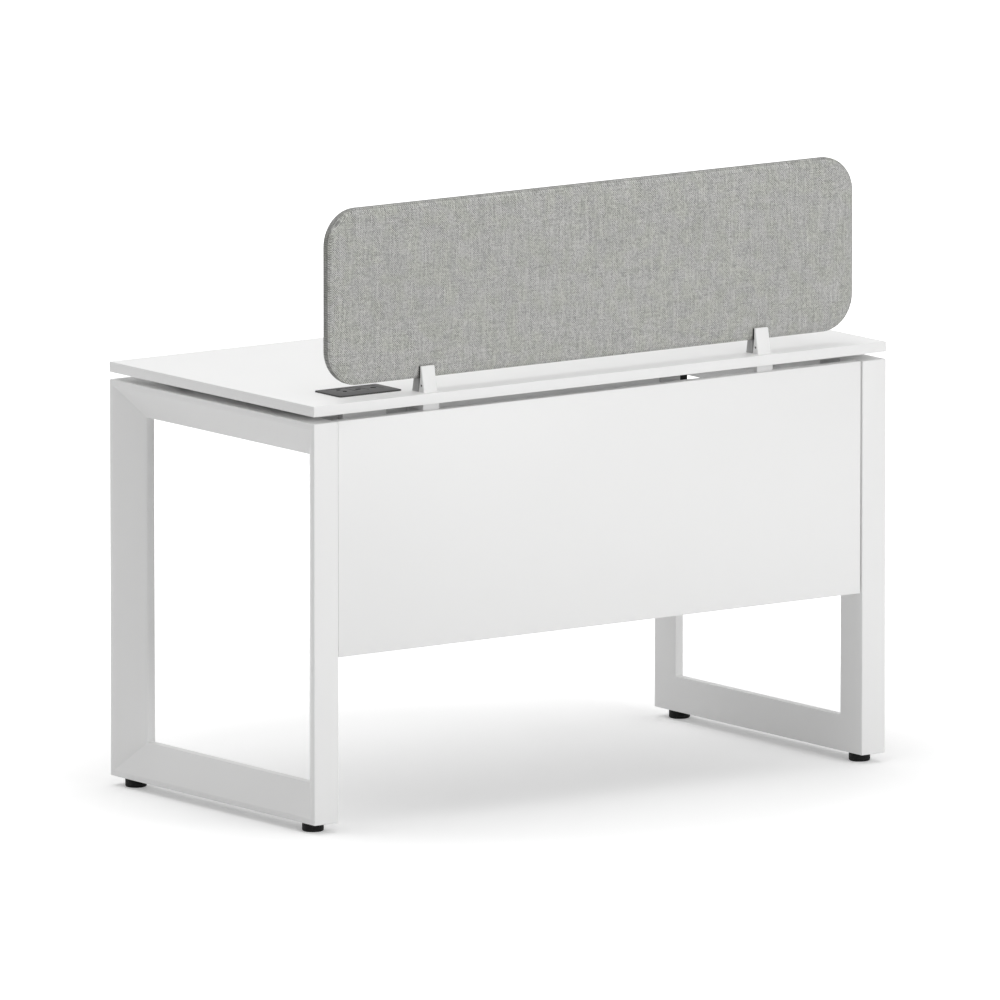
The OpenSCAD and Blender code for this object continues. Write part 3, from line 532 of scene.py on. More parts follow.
def melange_weave(name, colour):
    """Plain weave of melange yarn: every thread has its own tone, with slubs along it, and painted shade
    where the threads dip between their crowns.
    """
    finish = Finish(name, colour, 0.92, specular=0.2)
    finish.shader.inputs["Sheen Weight"].default_value = 0.12
    finish.shader.inputs["Sheen Roughness"].default_value = 0.5
    place_x, place_y, place_z = finish.split_place()
    across = finish.work("ADD", place_x, place_y)
    upward = finish.work("ADD", place_z, place_y)
    warp = finish.work("DIVIDE", across, THREAD)
    weft = finish.work("DIVIDE", upward, THREAD)
    warp_number = finish.work("FLOOR", warp)
    weft_number = finish.work("FLOOR", weft)

    def yarn_tone(number, run, slub, contrast, seed):
        column = finish.work("MULTIPLY", number, THREAD_STEP)
        spot = finish.spot(column, finish.work("MULTIPLY", run, slub), seed)
        return finish.span(finish.noise(1.0, detail=3.0, roughness=0.6, where=spot), -contrast, contrast)

    warp_tone = yarn_tone(warp_number, upward, WARP_SLUB, WARP_CONTRAST, WARP_SEED)
    weft_tone = yarn_tone(weft_number, across, WEFT_SLUB, WEFT_CONTRAST, WEFT_SEED)
    warp_wave = finish.work("SINE", finish.work("MULTIPLY", warp, math.pi))
    weft_wave = finish.work("SINE", finish.work("MULTIPLY", weft, math.pi))
    crossing = finish.work("MULTIPLY", warp_wave, weft_wave)
    on_top = finish.span(crossing, 0.0, 1.0, -CHECK_BLEND, CHECK_BLEND)
    tone = finish.nodes.new("ShaderNodeMix")
    finish.links.new(on_top, tone.inputs["Factor"])
    finish.links.new(warp_tone, tone.inputs["A"])
    finish.links.new(weft_tone, tone.inputs["B"])
    float_tone = finish.nodes.new("ShaderNodeTexWhiteNoise")
    finish.links.new(finish.spot(warp_number, weft_number), float_tone.inputs["Vector"])
    # Painted shade: the yarn darkens where the threads dip between their crowns; the same depth also drives
    # the bump.
    depth = finish.work("ABSOLUTE", crossing)
    patterns = (
        (float_tone.outputs["Value"], FLOAT_CONTRAST),
        (finish.noise(PATCH_SCALE, detail=3.0, roughness=0.6), PATCH_CONTRAST),
        (depth, HOLLOW_SHADE_CONTRAST),
        (on_top, CHECK_CONTRAST),
        (finish.noise(FIBRE_SCALE, detail=2.0, roughness=0.6), FIBRE_CONTRAST),
    )
    factor = tone.outputs["Result"]
    for pattern, contrast in patterns:
        factor = finish.work("ADD", factor, finish.span(pattern, -contrast / 2, contrast / 2))
    factor = finish.work("ADD", factor, 0.5)
    yarn = finish.tint(factor, shade(colour, 0.5), shade(colour, 1.5))
    warm = finish.nodes.new("ShaderNodeMix")
    warm.data_type = "RGBA"
    warm.blend_type = "MULTIPLY"
    warmth = finish.span(finish.noise(WARM_SCALE, detail=2.0), 0, 0.8, 0.42, 0.62)
    finish.links.new(warmth, warm.inputs["Factor"])
    finish.links.new(yarn, warm.inputs["A"])
    warm.inputs["B"].default_value = WARM_TINT
    finish.paint(warm.outputs["Result"])
    return finish.bump(depth, strength=0.55, distance=0.0004).material


WHITE = (0.872, 0.872, 0.868)
COAT = (0.86, 0.86, 0.856)

finishes = {
    "white_board": laminate("white_melamine", WHITE),
    "edge_band": laminate("white_edge_band", shade(WHITE, 0.99)),
    "frame_steel": powder_coat("white_powder_coat", COAT),
    "carcass_steel": powder_coat("grey_powder_coat", grey(0.6)),
    "zinc_steel": plated_steel("zinc_plating", (0.62, 0.62, 0.63)),
    "foot_thread": threaded_steel("zinc_thread", (0.6, 0.6, 0.61), 0.00125),
    "dark_steel": plated_steel("blackened_steel", grey(0.12), roughness=0.45),
    "black_plastic": moulded_plastic("black_moulding", grey(0.01), roughness=0.55, specular=0.15),
    "black_rubber": moulded_plastic("black_rubber", grey(0.012), roughness=0.75, grain=0.4),
    "spacer_plastic": moulded_plastic("spacer_plastic", grey(0.3)),
    "light_metal": powder_coat("light_grey_paint", grey(0.74)),
    "bracket_dark": powder_coat("dark_grey_paint", grey(0.4)),
    "bracket_white": powder_coat("white_bracket_paint", COAT, 900.0),
    "core_board": raw_board("raw_fibreboard", (0.5, 0.38, 0.24)),
    "insert_brass": plated_steel("plain_brass", (0.72, 0.53, 0.25), roughness=0.3),
    "screen_fabric": melange_weave("grey_melange_weave", (0.455, 0.455, 0.443)),
    "edge_fabric": melange_weave("dark_melange_edge", (0.29, 0.29, 0.282)),
    "welt_fabric": melange_weave("seam_welt", (0.42, 0.42, 0.41)),
    "stitch_thread": moulded_plastic("stitch_thread", (0.36, 0.36, 0.35), roughness=0.8, grain=0.4),
    "power_plastic": moulded_plastic("power_plate_plastic", grey(0.055), roughness=0.58, specular=0.35),
    # Painted shade: a flat, unreflecting black for the rings that stand in for the shade inside the power
    # unit's openings.
    "hole_shade_black": moulded_plastic("hole_shade_black", grey(0.008), roughness=0.85, grain=0.2, specular=0.02),
    "insert_plastic": moulded_plastic("socket_plastic", grey(0.12), roughness=0.6, specular=0.12),
    # Painted light: a light grey housing, lightened further so that its end, deep in shade in the slot beside
    # the side channel, reads mid-grey.
    "housing_plastic": moulded_plastic("housing_plastic", grey(0.82)),
    "tray_steel": powder_coat("silver_powder_coat", grey(0.8)),
    # Painted shade: the hangers are painted darker than the tray, for a darker band beside its end cap that
    # their lighting alone would not give.
    "hanger_steel": powder_coat("hanger_coat_painted_shade", grey(0.52)),
}


def dress_nodes():
    """Gives every CAD node the finish that its record slot names."""
    for entry in frame["record"]["subparts"]:
        node = frame["nodes"][entry["node"]]
        node.data.materials.clear()
        node.data.materials.append(finishes[entry["material_slot"]])


def studio_camera():
    bpy.ops.object.camera_add(location=CAMERA_PLACE, rotation=(CAMERA_TILT, 0, CAMERA_HEADING))
    camera = bpy.context.object
    camera.name = "photo_camera"
    camera.data.lens = CAMERA_LENS
    camera.data.sensor_width = CAMERA_SENSOR
    camera.data.clip_start = 1.0
    camera.data.clip_end = 80.0
    bpy.context.scene.camera = camera


def studio_floor():
    """A white floor that keeps the object's shadow and glows to the camera alone, and is clear from below."""
    clear_selection()
    bpy.ops.mesh.primitive_plane_add(size=FLOOR_SIZE, location=(0, 0, 0))
    floor = bpy.context.object
    floor.name = "studio_floor"
    finish = Finish("studio_floor_white", (FLOOR_WHITE,) * 3, 0.9, specular=0.0)
    path = finish.nodes.new("ShaderNodeLightPath")
    seen = finish.work("MAXIMUM", path.outputs["Is Camera Ray"], path.outputs["Is Glossy Ray"])
    seen = finish.work("MAXIMUM", seen, path.outputs["Is Transmission Ray"])
    away = finish.nodes.new("ShaderNodeVectorMath")
    away.operation = "LENGTH"
    finish.links.new(finish.place, away.inputs[0])
    level = finish.span(away.outputs["Value"], FLOOR_GLOW, FAR_GLOW, GLOW_START, GLOW_END)
    glow = finish.nodes.new("ShaderNodeEmission")
    finish.links.new(finish.work("MULTIPLY", level, seen), glow.inputs["Strength"])
    both = finish.nodes.new("ShaderNodeAddShader")
    finish.links.new(finish.shader.outputs[0], both.inputs[0])
    finish.links.new(glow.outputs[0], both.inputs[1])
    underside = finish.nodes.new("ShaderNodeNewGeometry").outputs["Backfacing"]
    clear = finish.nodes.new("ShaderNodeBsdfTransparent")
    sides = finish.nodes.new("ShaderNodeMixShader")
    finish.links.new(underside, sides.inputs[0])
    finish.links.new(both.outputs[0], sides.inputs[1])
    finish.links.new(clear.outputs[0], sides.inputs[2])
    finish.links.new(sides.outputs[0], finish.nodes["Material Output"].inputs["Surface"])
    floor.data.materials.append(finish.material)


def studio_world():
    """White to the camera; to the object an even light that is a little stronger from above."""
    world = bpy.data.worlds.new("studio_world")
    bpy.context.scene.world = world
    world.use_nodes = True
    nodes, links = world.node_tree.nodes, world.node_tree.links
    path = nodes.new("ShaderNodeLightPath")
    seen = path.outputs["Is Camera Ray"]
    for kind in ("Is Glossy Ray", "Is Transmission Ray"):
        either = nodes.new("ShaderNodeMath")
        either.operation = "MAXIMUM"
        links.new(seen, either.inputs[0])
        links.new(path.outputs[kind], either.inputs[1])
        seen = either.outputs[0]
    direction = nodes.new("ShaderNodeTexCoord")
    lean = nodes.new("ShaderNodeVectorMath")
    lean.operation = "DOT_PRODUCT"
    links.new(direction.outputs["Generated"], lean.inputs[0])
    lean.inputs[1].default_value = WORLD_LEAN
    even = nodes.new("ShaderNodeMath")
    even.operation = "MULTIPLY_ADD"
    links.new(lean.outputs["Value"], even.inputs[0])
    even.inputs[1].default_value = WORLD_LIGHT
    even.inputs[2].default_value = WORLD_LIGHT
    level = nodes.new("ShaderNodeMix")
    links.new(seen, level.inputs["Factor"])
    links.new(even.outputs[0], level.inputs["A"])
    level.inputs["B"].default_value = 1.0
    background = nodes["Background"]
    background.inputs["Color"].default_value = (1, 1, 1, 1)
    links.new(level.outputs["Result"], background.inputs["Strength"])


def add_lamp(name, place_at, aim, size, power):
    bpy.ops.object.light_add(type="AREA", location=place_at)
    lamp = bpy.context.object
    lamp.name = name
    lamp.data.shape = "RECTANGLE"
    lamp.data.size, lamp.data.size_y = size
    lamp.data.energy = power
    lamp.rotation_euler = (Vector(aim) - Vector(place_at)).to_track_quat("-Z", "Y").to_euler()


def studio_lamps():
    add_lamp("top_softbox", TOP_PLACE, TOP_AIM, TOP_SIZE, TOP_POWER)
    add_lamp("rear_softbox", REAR_PLACE, REAR_AIM, REAR_SIZE, REAR_POWER)


def edge_band(name, node, board_node, across):
    """The glued band round a board whose faces lie across an axis."""
    low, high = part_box(node)
    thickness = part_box(board_node)[0].x - low.x
    band = new_block(name, low, high)
    pick(band, "FACE", lambda f: abs(f.normal[across]) > 0.9)
    bpy.ops.mesh.inset(thickness=thickness, use_individual=True)
    bpy.ops.mesh.delete(type="FACE")
    bridge_rims(band)
    sides = [axis for axis in range(3) if axis != across]
    pick(band, "EDGE", lambda e: depth_in_box(middle(e), low, high, sides) < NEAR)
    round_picked(BAND_ROUND)
    place(finish_mesh(band, 30), "desk", finishes["edge_band"], "edge_band", node)


def worktop():
    """Board with a cut-out for the power unit, and the glued band round its edge."""
    low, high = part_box("worktop_board")
    slack = Vector((CUT_SLACK, CUT_SLACK, 0))
    hole_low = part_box("power_housing")[0] - slack
    hole_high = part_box("power_housing")[1] + slack
    board = new_block("worktop_board_laminate", low, high)
    pick(board, "EDGE", lambda e: middle(e).z > high.z - NEAR)
    round_picked(BOARD_ROUND, 2)
    for axis in (0, 1):
        slice_at(board, axis, hole_low[axis])
        slice_at(board, axis, hole_high[axis])
    pick(board, "FACE", lambda f: abs(f.normal.z) > 0.9
         and depth_in_box(f.calc_center_median(), hole_low, hole_high, (0, 1)) > 0)
    bpy.ops.mesh.delete(type="FACE")
    bridge_rims(board)
    place(finish_mesh(board, 30), "desk", finishes["white_board"], "white_board", "worktop_board")
    edge_band("worktop_edge_band", "worktop_edge_bands", "worktop_board", 2)


def modesty_panel():
    """Board under the worktop's rear edge, and the glued band round it."""
    board = new_block("modesty_board_laminate", *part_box("modesty_board"))
    pick(board, "EDGE", lambda e: True)
    round_picked(BOARD_ROUND, 2)
    place(finish_mesh(board, 30), "desk", finishes["white_board"], "white_board", "modesty_board")
    edge_band("modesty_edge_band", "modesty_edge_bands", "modesty_board", 1)


def leg_frame(side, sign):
    """A closed loop with a narrow rim and a long bevel towards its opening."""
    nodes = [f"{side}_{member}" for member in ("front_post", "rear_post", "top_rail", "bottom_rail")]
    low, high = corners_of([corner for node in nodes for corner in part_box(node)])
    loop = new_block(f"{side}_leg_frame", low, high)
    depth = high.x - low.x - OPENING_WALL
    pick(loop, "FACE", lambda f: f.normal.x * sign > 0.9)
    bpy.ops.mesh.inset(thickness=RIM_WIDTH)
    bpy.ops.mesh.inset(thickness=BAR_DEPTH - RIM_WIDTH)
    bpy.ops.transform.translate(value=(-sign * depth, 0, 0))
    bpy.ops.mesh.delete(type="FACE")
    pick(loop, "FACE", lambda f: f.normal.x * sign < -0.9)
    bpy.ops.mesh.inset(thickness=BAR_DEPTH)
    bpy.ops.mesh.delete(type="FACE")
    bridge_rims(loop)

    def depth_inside(e):
        return depth_in_box(middle(e), low, high, (1, 2))

    pick(loop, "EDGE", lambda e: depth_inside(e) < NEAR)
    round_picked(FRAME_ROUND, 4)
    pick(loop, "EDGE", lambda e: e.calc_face_angle(0) > 0.3 and depth_inside(e) > CREASE_REACH)
    round_picked(FRAME_CREASE, 3)
    place(finish_mesh(loop, 30), "desk", finishes["frame_steel"], "frame_steel", *nodes)


def foot(node, body):
    """Moulded pad with a rounded sole and a dished top round the screw's well."""
    low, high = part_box(node)
    centre = (low + high) / 2
    radius = (high.x - low.x) / 2
    pad = new_puck(node + "_moulding", centre, radius, high.z - low.z)
    pick(pad, "FACE", lambda f: f.normal.z > 0.9)
    bpy.ops.mesh.inset(thickness=DISH_RIM)
    bpy.ops.transform.translate(value=(0, 0, -DISH_DEPTH))
    bpy.ops.mesh.inset(thickness=WELL_RIM)
    bpy.ops.mesh.extrude_region_move(TRANSFORM_OT_translate={"value": (0, 0, -WELL_DEPTH)})
    pick(pad, "FACE", lambda f: f.normal.z < -0.9)
    bpy.ops.mesh.inset(thickness=SOLE_RIM)
    bpy.ops.mesh.inset(thickness=SOLE_SLOPE)
    bpy.ops.transform.translate(value=(0, 0, SOLE_HOLLOW))

    def on_wall(e):
        return min((v.co - centre).xy.length for v in e.verts) > radius - NEAR

    pick(pad, "EDGE", lambda e: on_wall(e) and middle(e).z < low.z + NEAR)
    round_picked(SOLE_ROUND, 6)
    pick(pad, "EDGE", lambda e: on_wall(e) and middle(e).z > high.z - NEAR)
    round_picked(SHOULDER_ROUND, 3)
    place(finish_mesh(pad, 35), body, finishes["black_plastic"], "black_plastic", node)


def bracket_cheek(side):
    """White wedge behind the screen, with softly rounded edges and a bored hole on either side."""
    low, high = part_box(f"{side}_bracket_cheek")
    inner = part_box("bracket_pads")[1].y
    top_back = inner + CHEEK_TOP
    cheek = new_block(f"{side}_bracket_cheek_cover", low, high)
    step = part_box(f"{side}_bracket_base")[0].z + BASE_TOP
    pick(cheek, "FACE", lambda f: True)
    bpy.ops.mesh.bisect(plane_co=(0, 0, step), plane_no=(0, 0, 1))
    mesh = bmesh.from_edit_mesh(cheek.data)
    for v in mesh.verts:
        if v.co.y > (low.y + high.y) / 2:
            rise = (v.co.z - low.z) / (high.z - low.z)
            v.co.y = high.y + (top_back - high.y) * rise
        elif v.co.z > step - NEAR:
            v.co.y = inner
    bmesh.update_edit_mesh(cheek.data)
    pick(cheek, "EDGE", lambda e: middle(e).z > low.z + NEAR and e.calc_face_angle(0) > 0.2)
    round_picked(BRACKET_ROUND, 4)
    middle_x = (low.x + high.x) / 2
    for points in islands("bracket_grub_screws"):
        if low.x < points[0].x < high.x:
            outer = math.copysign(1, points[0].x - middle_x)
            bore_hole(cheek, points, outer)
            bore_hole(cheek, [mirrored_x(p, middle_x) for p in points], -outer)
    place(finish_mesh(cheek, 35), "desk", finishes["bracket_white"], "bracket_white", f"{side}_bracket_cheek")


def mirrored_x(point, at):
    return Vector((2 * at - point.x, point.y, point.z))


def bore_hole(piece, points, sign):
    """Cuts a round hole along X for the screw whose corner points are given, open on one side."""
    low, high = corners_of(points)
    start, end = (low.x, high.x + GRUB_CUT) if sign > 0 else (low.x - GRUB_CUT, high.x)
    centre = Vector(((start + end) / 2, (low.y + high.y) / 2, (low.z + high.z) / 2))
    drill = new_puck("drill", centre, (high.z - low.z) / 2 + GRUB_SLACK, end - start, "X", 24)
    bore = piece.modifiers.new("bore", "BOOLEAN")
    bore.operation = "DIFFERENCE"
    bore.solver = "EXACT"
    bore.object = drill
    select_only(piece)
    bpy.ops.object.modifier_apply(modifier=bore.name)
    bpy.data.objects.remove(drill)


def inner_grub_screws():
    """The brackets' second side screws, mirrored from the first ones about each bracket's middle."""
    piece = new_piece("inner_grub_screws", frame["nodes"]["bracket_grub_screws"].data.copy())
    middle_x = sum(corner.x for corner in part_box("right_bracket_cheek")) / 2
    for v in piece.data.vertices:
        v.co = mirrored_x(v.co, math.copysign(middle_x, v.co.x))
    place(finish_mesh(piece, 30), "desk", finishes["dark_steel"], "dark_steel")


def bracket_base(side):
    """Dark block under the screen, its front leaning back under the fabric."""
    low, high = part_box(f"{side}_bracket_base")
    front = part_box(f"{side}_bracket_cheek")[0].y
    top = low.z + BASE_TOP
    base = new_block(f"{side}_bracket_base_casting", low, (high.x, front, top))
    pick(base, "EDGE", lambda e: along(e, 0) and middle(e).z > top - NEAR and middle(e).y < low.y + NEAR)
    bpy.ops.transform.translate(value=(0, BASE_LEAN, 0))
    pick(base, "EDGE", lambda e: middle(e).z > low.z + NEAR and middle(e).y < front - NEAR)
    round_picked(BASE_ROUND)
    place(finish_mesh(base, 35), "desk", finishes["bracket_dark"], "bracket_dark", f"{side}_bracket_base")


def rubber_pads():
    """Soft black pads between the brackets and the screen's rear cover; their lap round the cheeks' front
    edges and their proud sides are painted shade, a dark strip for the shadow gap there.
    """
    low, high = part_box("bracket_pads")
    pads = []
    for side in ("right", "left"):
        cheek_low, cheek_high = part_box(f"{side}_bracket_cheek")
        # Painted shade: the pad reaches past the cheek's front edge and stands proud of its sides, a dark
        # strip for the shadow gap beside the cheek.
        pad = new_block(f"{side}_bracket_rubber", (cheek_low.x - PAD_PROUD, low.y, low.z),
                        (cheek_high.x + PAD_PROUD, high.y + PAD_SHADE_LAP, cheek_high.z - BRACKET_ROUND / 2))
        pick(pad, "EDGE", lambda e: True)
        round_picked(SMALL_ROUND, 3)
        pads.append(finish_mesh(pad, 35))
    place(join("bracket_rubbers", pads), "desk", finishes["black_rubber"], "black_rubber", "bracket_pads")


def rounded_slab(name, low, high, corner, steps=16):
    """A slab standing in the XZ plane whose four corners are rounded."""
    slab = new_block(name, low, high)
    pick(slab, "EDGE", lambda e: along(e, 1))
    round_picked(corner, steps)
    return slab


def rim_ring(name, low, high, corner, wall, rounding, steps=3):
    """A closed band in the outline of a rounded slab, its outer edges rounded."""
    ring = rounded_slab(name, low, high, corner, 24)
    pick(ring, "FACE", lambda f: abs(f.normal.y) > 0.99)
    bpy.ops.mesh.inset(thickness=wall, use_individual=True)
    bpy.ops.mesh.delete(type="FACE")
    bridge_rims(ring)
    pick(ring, "EDGE", lambda e: not along(e, 1) and depth_in_box(middle(e), low, high, (1,)) < NEAR
         and depth_in_outline(middle(e), low, high, corner) < wall / 2)
    round_picked(rounding, steps)
    return finish_mesh(ring, 50)


def rim_path(low, high, corner, pitch):
    """Places and directions along a rounded outline in the XZ plane, one every pitch."""
    centre_x, centre_z = (low.x + high.x) / 2, (low.z + high.z) / 2
    half_x, half_z = (high.x - low.x) / 2 - corner, (high.z - low.z) / 2 - corner
    path = []
    for quarter in range(4):
        turn = quarter * math.pi / 2
        sign_x = 1 if quarter in (0, 3) else -1
        sign_z = 1 if quarter in (0, 1) else -1
        corner_centre = Vector((centre_x + sign_x * half_x, 0, centre_z + sign_z * half_z))
        arc = round(corner * math.pi / 2 / pitch)
        for step in range(arc):
            at = turn + math.pi / 2 * (step + 0.5) / arc
            out = Vector((math.cos(at), 0, math.sin(at)))
            path.append((corner_centre + out * corner, out))
        out = Vector((math.cos(turn + math.pi / 2), 0, math.sin(turn + math.pi / 2)))
        length = 2 * (half_x if quarter in (0, 2) else half_z)
        count = round(length / pitch)
        run = Vector((-out.z, 0, out.x))
        start = corner_centre + out * corner
        for step in range(count):
            path.append((start + run * (length * (step + 0.5) / count), out))
    return path


def swollen_cover():
    """The rear cover as simulated cloth: a thin pad swells under pressure, and its hidden half is cut off."""
    low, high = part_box("screen_rear_cover")
    inset = Vector((PAD_INSET, 0, PAD_INSET))
    pad = rounded_slab("screen_rear_fabric", low + inset - Vector((0, PAD_BACK, 0)),
                       high - inset - Vector((0, PAD_RISE, 0)), SCREEN_CORNER - PAD_INSET)
    pick(pad, "EDGE", lambda e: not along(e, 1))
    round_picked(PAD_RIM, 4)
    select_only(pad)
    pad.data.remesh_voxel_size = PAD_VOXEL
    bpy.ops.object.voxel_remesh()
    pick(pad, "FACE", lambda f: True)
    bpy.ops.mesh.vertices_smooth(factor=0.5, repeat=2)
    bpy.ops.object.mode_set(mode="OBJECT")
    rest = [v.co.copy() for v in pad.data.vertices]
    cloth = pad.modifiers.new("swell", "CLOTH")
    cloth.settings.quality = 4
    cloth.settings.mass = 0.2
    cloth.settings.use_pressure = True
    cloth.settings.uniform_pressure_force = 4.0
    cloth.settings.effector_weights.gravity = 0.0
    scene = bpy.context.scene
    for number in range(1, PAD_FRAMES + 1):
        scene.frame_set(number)
    swollen = pad.evaluated_get(bpy.context.evaluated_depsgraph_get()).data
    moved = [v.co.copy() for v in swollen.vertices]
    pad.modifiers.remove(cloth)
    scene.frame_set(1)
    for v, start, end in zip(pad.data.vertices, rest, moved):
        shift = end - start
        if shift.length > PAD_RISE:
            shift *= PAD_RISE / shift.length
        v.co = start + shift
    finer = pad.modifiers.new("finer", "SUBSURF")
    finer.levels = 1
    finer.render_levels = 1
    bpy.ops.object.modifier_apply(modifier=finer.name)
    pick(pad, "FACE", lambda f: True)
    bpy.ops.mesh.bisect(plane_co=(0, low.y, 0), plane_no=(0, 1, 0), use_fill=True, clear_inner=True)
    bpy.ops.object.mode_set(mode="OBJECT")
    return pad


def screen_covers():
    """The padded cover on the rear, and its mirrored copy on the front."""
    rear = swollen_cover()
    finish_mesh(rear, 60)
    front = new_piece("screen_front_fabric", rear.data.copy())
    middle_y = (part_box("screen_front_cover")[0].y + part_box("screen_rear_cover")[1].y) / 2
    for v in front.data.vertices:
        v.co.y = 2 * middle_y - v.co.y
    finish_mesh(front, 60)
    for piece, node in ((rear, "screen_rear_cover"), (front, "screen_front_cover")):
        place(piece, "desk", finishes["screen_fabric"], "screen_fabric", node)


def screen_seams():
    """Each seam between the edge strip and a cover: its side, its place along Y and the way out."""
    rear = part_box("screen_rear_cover")[0].y
    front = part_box("screen_front_cover")[1].y
    return ("rear", rear, 1), ("front", front, -1)


def screen_edge():
    """Fabric strip round the screen's edge, and the two thin welts beside it."""
    low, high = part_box("screen_edge_cover")
    strip = rim_ring("screen_edge_strip", low, high, SCREEN_CORNER, STRIP_WALL, STRIP_ROUND)
    place(strip, "desk", finishes["edge_fabric"], "edge_fabric", "screen_edge_cover")
    inset = Vector((PAD_INSET, 0, PAD_INSET)) * 0.5
    welts = []
    for side, seam, _ in screen_seams():
        welt_low = Vector((low.x, seam - WELT_RADIUS, low.z)) + inset
        welt_high = Vector((high.x, seam + WELT_RADIUS, high.z)) - inset
        welts.append(rim_ring(f"screen_{side}_welt", welt_low, welt_high, SCREEN_CORNER, WELT_WALL,
                              WELT_ROUND, 4))
    place(join("screen_welts", welts), "desk", finishes["welt_fabric"], "edge_fabric")


def screen_stitches():
    """A row of stitches in the edge strip along each seam, copied from one stitch."""
    low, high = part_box("screen_edge_cover")
    stitch_model = new_puck("stitch", (0, 0, 0), STITCH_RADIUS, STITCH_LENGTH, "X", 6)
    pick(stitch_model, "FACE", lambda f: abs(f.normal.x) > 0.9)
    bpy.ops.mesh.inset(thickness=STITCH_RADIUS * 0.5)
    bpy.ops.object.mode_set(mode="OBJECT")
    for side, seam, outward in screen_seams():
        name = f"screen_{side}_stitches"
        rows = bpy.data.meshes.new(name)
        joined = bmesh.new()
        for spot, out in rim_path(low, high, SCREEN_CORNER, STITCH_PITCH):
            lay = Vector((out.z, 0, -out.x))
            turn = Matrix((lay, Vector((0, 1, 0)), out)).transposed().to_4x4()
            place_at = spot + Vector((0, seam - outward * STITCH_SHIFT, 0)) + out * STITCH_RISE
            before = len(joined.verts)
            joined.from_mesh(stitch_model.data)
            joined.verts.ensure_lookup_table()
            stitch_verts = joined.verts[before:]
            bmesh.ops.transform(joined, matrix=Matrix.Translation(place_at) @ turn, verts=stitch_verts)
        joined.to_mesh(rows)
        joined.free()
        place(finish_mesh(new_piece(name, rows), 60), "desk", finishes["stitch_thread"], "edge_fabric")
    bpy.data.objects.remove(stitch_model)


def power_plate():
    """Thin bezel with rounded corners and a window for each insert."""
    low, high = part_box("power_bezel")
    plate = new_block("power_plate_bezel", low, high)
    pick(plate, "EDGE", lambda e: along(e, 2))
    round_picked(PLATE_CORNER, 6)
    pick(plate, "EDGE", lambda e: middle(e).z > high.z - NEAR)
    round_picked(PLATE_ROUND, 3)
    slack = Vector((WINDOW_SLACK, WINDOW_SLACK, 0))
    socket_low, socket_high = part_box("socket_insert")
    ports_low, ports_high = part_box("port_inserts")
    windows = [(socket_low - slack, socket_high + slack)]
    for start in (ports_low.x, ports_high.x - PORT_WIDTH):
        window_low = Vector((start, ports_low.y, ports_low.z)) - slack
        windows.append((window_low, Vector((start + PORT_WIDTH, ports_high.y, ports_high.z)) + slack))
    for window_low, window_high in windows:
        slice_at(plate, 0, window_low.x)
        slice_at(plate, 0, window_high.x)
    slice_at(plate, 1, windows[0][0].y)
    slice_at(plate, 1, windows[0][1].y)
    for window in windows:
        def depth_inside(point):
            return depth_in_box(point, *window, (0, 1))
        pick(plate, "FACE", lambda f: abs(f.normal.z) > 0.9 and depth_inside(f.calc_center_median()) > 0)
        bpy.ops.mesh.delete(type="FACE")
        bridge_rims(plate, lambda e: depth_inside(middle(e)) > -NEAR)
    place(finish_mesh(plate, 35), "desk", finishes["power_plastic"], "power_plastic", "power_bezel")


def hole_shade_ring(name, centre, length, width):
    """Black ring, flush with the plate, round an opening of the power unit: painted shade that widens the
    dark of the shaded hole.
    """
    half = Vector((length / 2 + SURROUND_WIDTH, width / 2 + SURROUND_WIDTH, 0))
    ring = new_block(name, centre - half, centre + half + Vector((0, 0, SURROUND_RISE)))
    pick(ring, "EDGE", lambda e: along(e, 2))
    round_picked(min(half.x, half.y) - HAIR, 8)
    pick(ring, "FACE", lambda f: abs(f.normal.z) > 0.9)
    bpy.ops.mesh.inset(thickness=SURROUND_WIDTH, use_individual=True)
    bpy.ops.mesh.delete(type="FACE")
    bridge_rims(ring)
    return finish_mesh(ring, 35)


def hole_shade_rings():
    """Painted-shade rings round the socket's two pin holes and round the two ports."""
    low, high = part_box("socket_insert")
    socket = Vector(((low.x + high.x) / 2, (low.y + high.y) / 2, high.z))
    ports_low, ports_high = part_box("port_inserts")
    rings = []
    for number, sign in enumerate((-1, 1)):
        pin = socket + Vector((0, sign * PIN_PITCH / 2, 0))
        rings.append(hole_shade_ring(f"pin_surround_{number}", pin, 2 * PIN_RADIUS, 2 * PIN_RADIUS))
    for number, at in enumerate((ports_low.x + PORT_WIDTH / 2, ports_high.x - PORT_WIDTH / 2)):
        port = Vector((at, socket.y + PORT_RISE, ports_high.z))
        rings.append(hole_shade_ring(f"port_surround_{number}", port, PORT_LENGTH, PORT_HEIGHT))
    place(join("hole_shade_rings", rings), "desk", finishes["hole_shade_black"], "black_plastic")


# CAD nodes that are only eased at their edges, and by how much.
EASED = {
    "foot_inserts": 0.0003, "right_side_channel": 0.0006, "left_side_channel": 0.0006,
    "front_beam": 0.0005, "rear_beam": 0.0005, "beam_end_plates": 0.0004, "worktop_spacers": 0.0008,
    "modesty_angles": 0.0004, "hanger_blocks": 0.0006, "bracket_grub_screws": 0.0001, "screen_core": 0.0004,
    "screen_inserts": 0.0003, "socket_insert": 0.0003, "port_inserts": 0.0003, "power_housing": 0.0006,
    "power_inlet": 0.0003, "power_clamps": 0.0008, "cable_tray": 0.0003, "tray_end_cap": 0.0005,
    "tray_hangers": 0.0004,
}


def islands(node):
    """The separate solids of a CAD node, each as a list of its corner points."""
    mesh = bmesh.new()
    mesh.from_mesh(frame["nodes"][node].data)
    bmesh.ops.remove_doubles(mesh, verts=mesh.verts, dist=WELD)
    seen = set()
    groups = []
    for first in mesh.verts:
        if first in seen:
            continue
        seen.add(first)
        stack = [first]
        group = []
        while stack:
            vert = stack.pop()
            group.append(vert.co.copy())
            for edge in vert.link_edges:
                other = edge.other_vert(vert)
                if other not in seen:
                    seen.add(other)
                    stack.append(other)
        groups.append(group)
    mesh.free()
    return groups


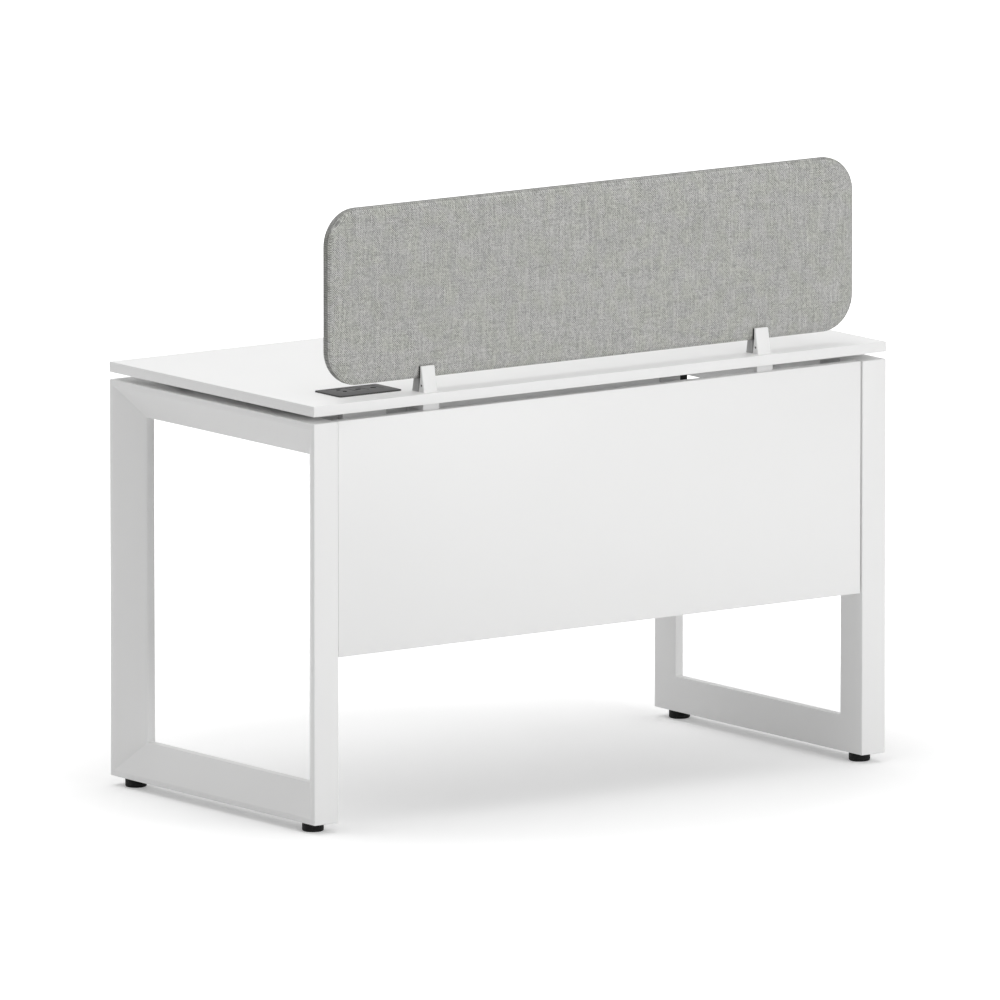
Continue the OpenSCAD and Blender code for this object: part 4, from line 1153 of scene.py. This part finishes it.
def screw_pose(points):
    """Size, head place and outward direction of a screw, read from the corner points of its solid."""
    low, high = corners_of(points)
    size = high - low
    axis = max(range(3), key=lambda i: size[i])
    centre = (low + high) / 2

    def off_axis(point):
        away = point - centre
        away[axis] = 0
        return away.length

    head_radius = max(off_axis(p) for p in points)
    shank_radius = min(off_axis(p) for p in points)
    rim = [p[axis] for p in points if off_axis(p) > (head_radius + shank_radius) / 2]
    outward = 1 if sum(rim) / len(rim) > centre[axis] else -1
    place_at = centre.copy()
    place_at[axis] = high[axis] if outward > 0 else low[axis]
    facing = Vector((0, 0, 0))
    facing[axis] = outward
    return (head_radius, max(rim) - min(rim), shank_radius, size[axis]), place_at, facing


def set_fasteners(node, cross=False):
    """Models a node's screw once and copies it to every place, as one piece."""
    poses = [screw_pose(points) for points in islands(node)]
    model = fastener(node + "_turned", poses[0][0], cross)
    copies = []
    for number, (_, spot, facing) in enumerate(poses):
        copy = new_piece(f"{node}_{number}", model.data.copy())
        copy.rotation_euler = facing.to_track_quat("Z", "Y").to_euler()
        copy.location = spot
        select_only(copy)
        bpy.ops.object.transform_apply(location=True, rotation=True, scale=True)
        copies.append(copy)
    bpy.data.objects.remove(model)
    place(join(node + "_set", copies), "desk", finishes["zinc_steel"], "zinc_steel", node)


studio_camera()
studio_floor()
studio_world()
studio_lamps()
dress_nodes()
worktop()
modesty_panel()
leg_frame("right", 1)
leg_frame("left", -1)
for end in ("front", "rear"):
    for side in ("right", "left"):
        body = f"{end}_{side}_foot"
        foot(body + "_pad", body)
        softened(body + "_stud", finishes["foot_thread"], "zinc_steel", STUD_ROUND, body)
for side in ("right", "left"):
    bracket_cheek(side)
    bracket_base(side)
inner_grub_screws()
rubber_pads()
screen_covers()
screen_edge()
screen_stitches()
power_plate()
hole_shade_rings()
for node in ("channel_bolts", "beam_bolts", "bracket_bolts"):
    set_fasteners(node)
for node in ("worktop_screws", "modesty_screws", "hanger_screws", "screen_screws", "tray_screws"):
    set_fasteners(node, cross=True)
for entry in frame["record"]["subparts"]:
    slot = entry["material_slot"]
    if entry["node"] in EASED:
        softened(entry["node"], finishes[slot], slot, EASED[entry["node"]])

bpy.context.scene.view_settings.view_transform = "Standard"
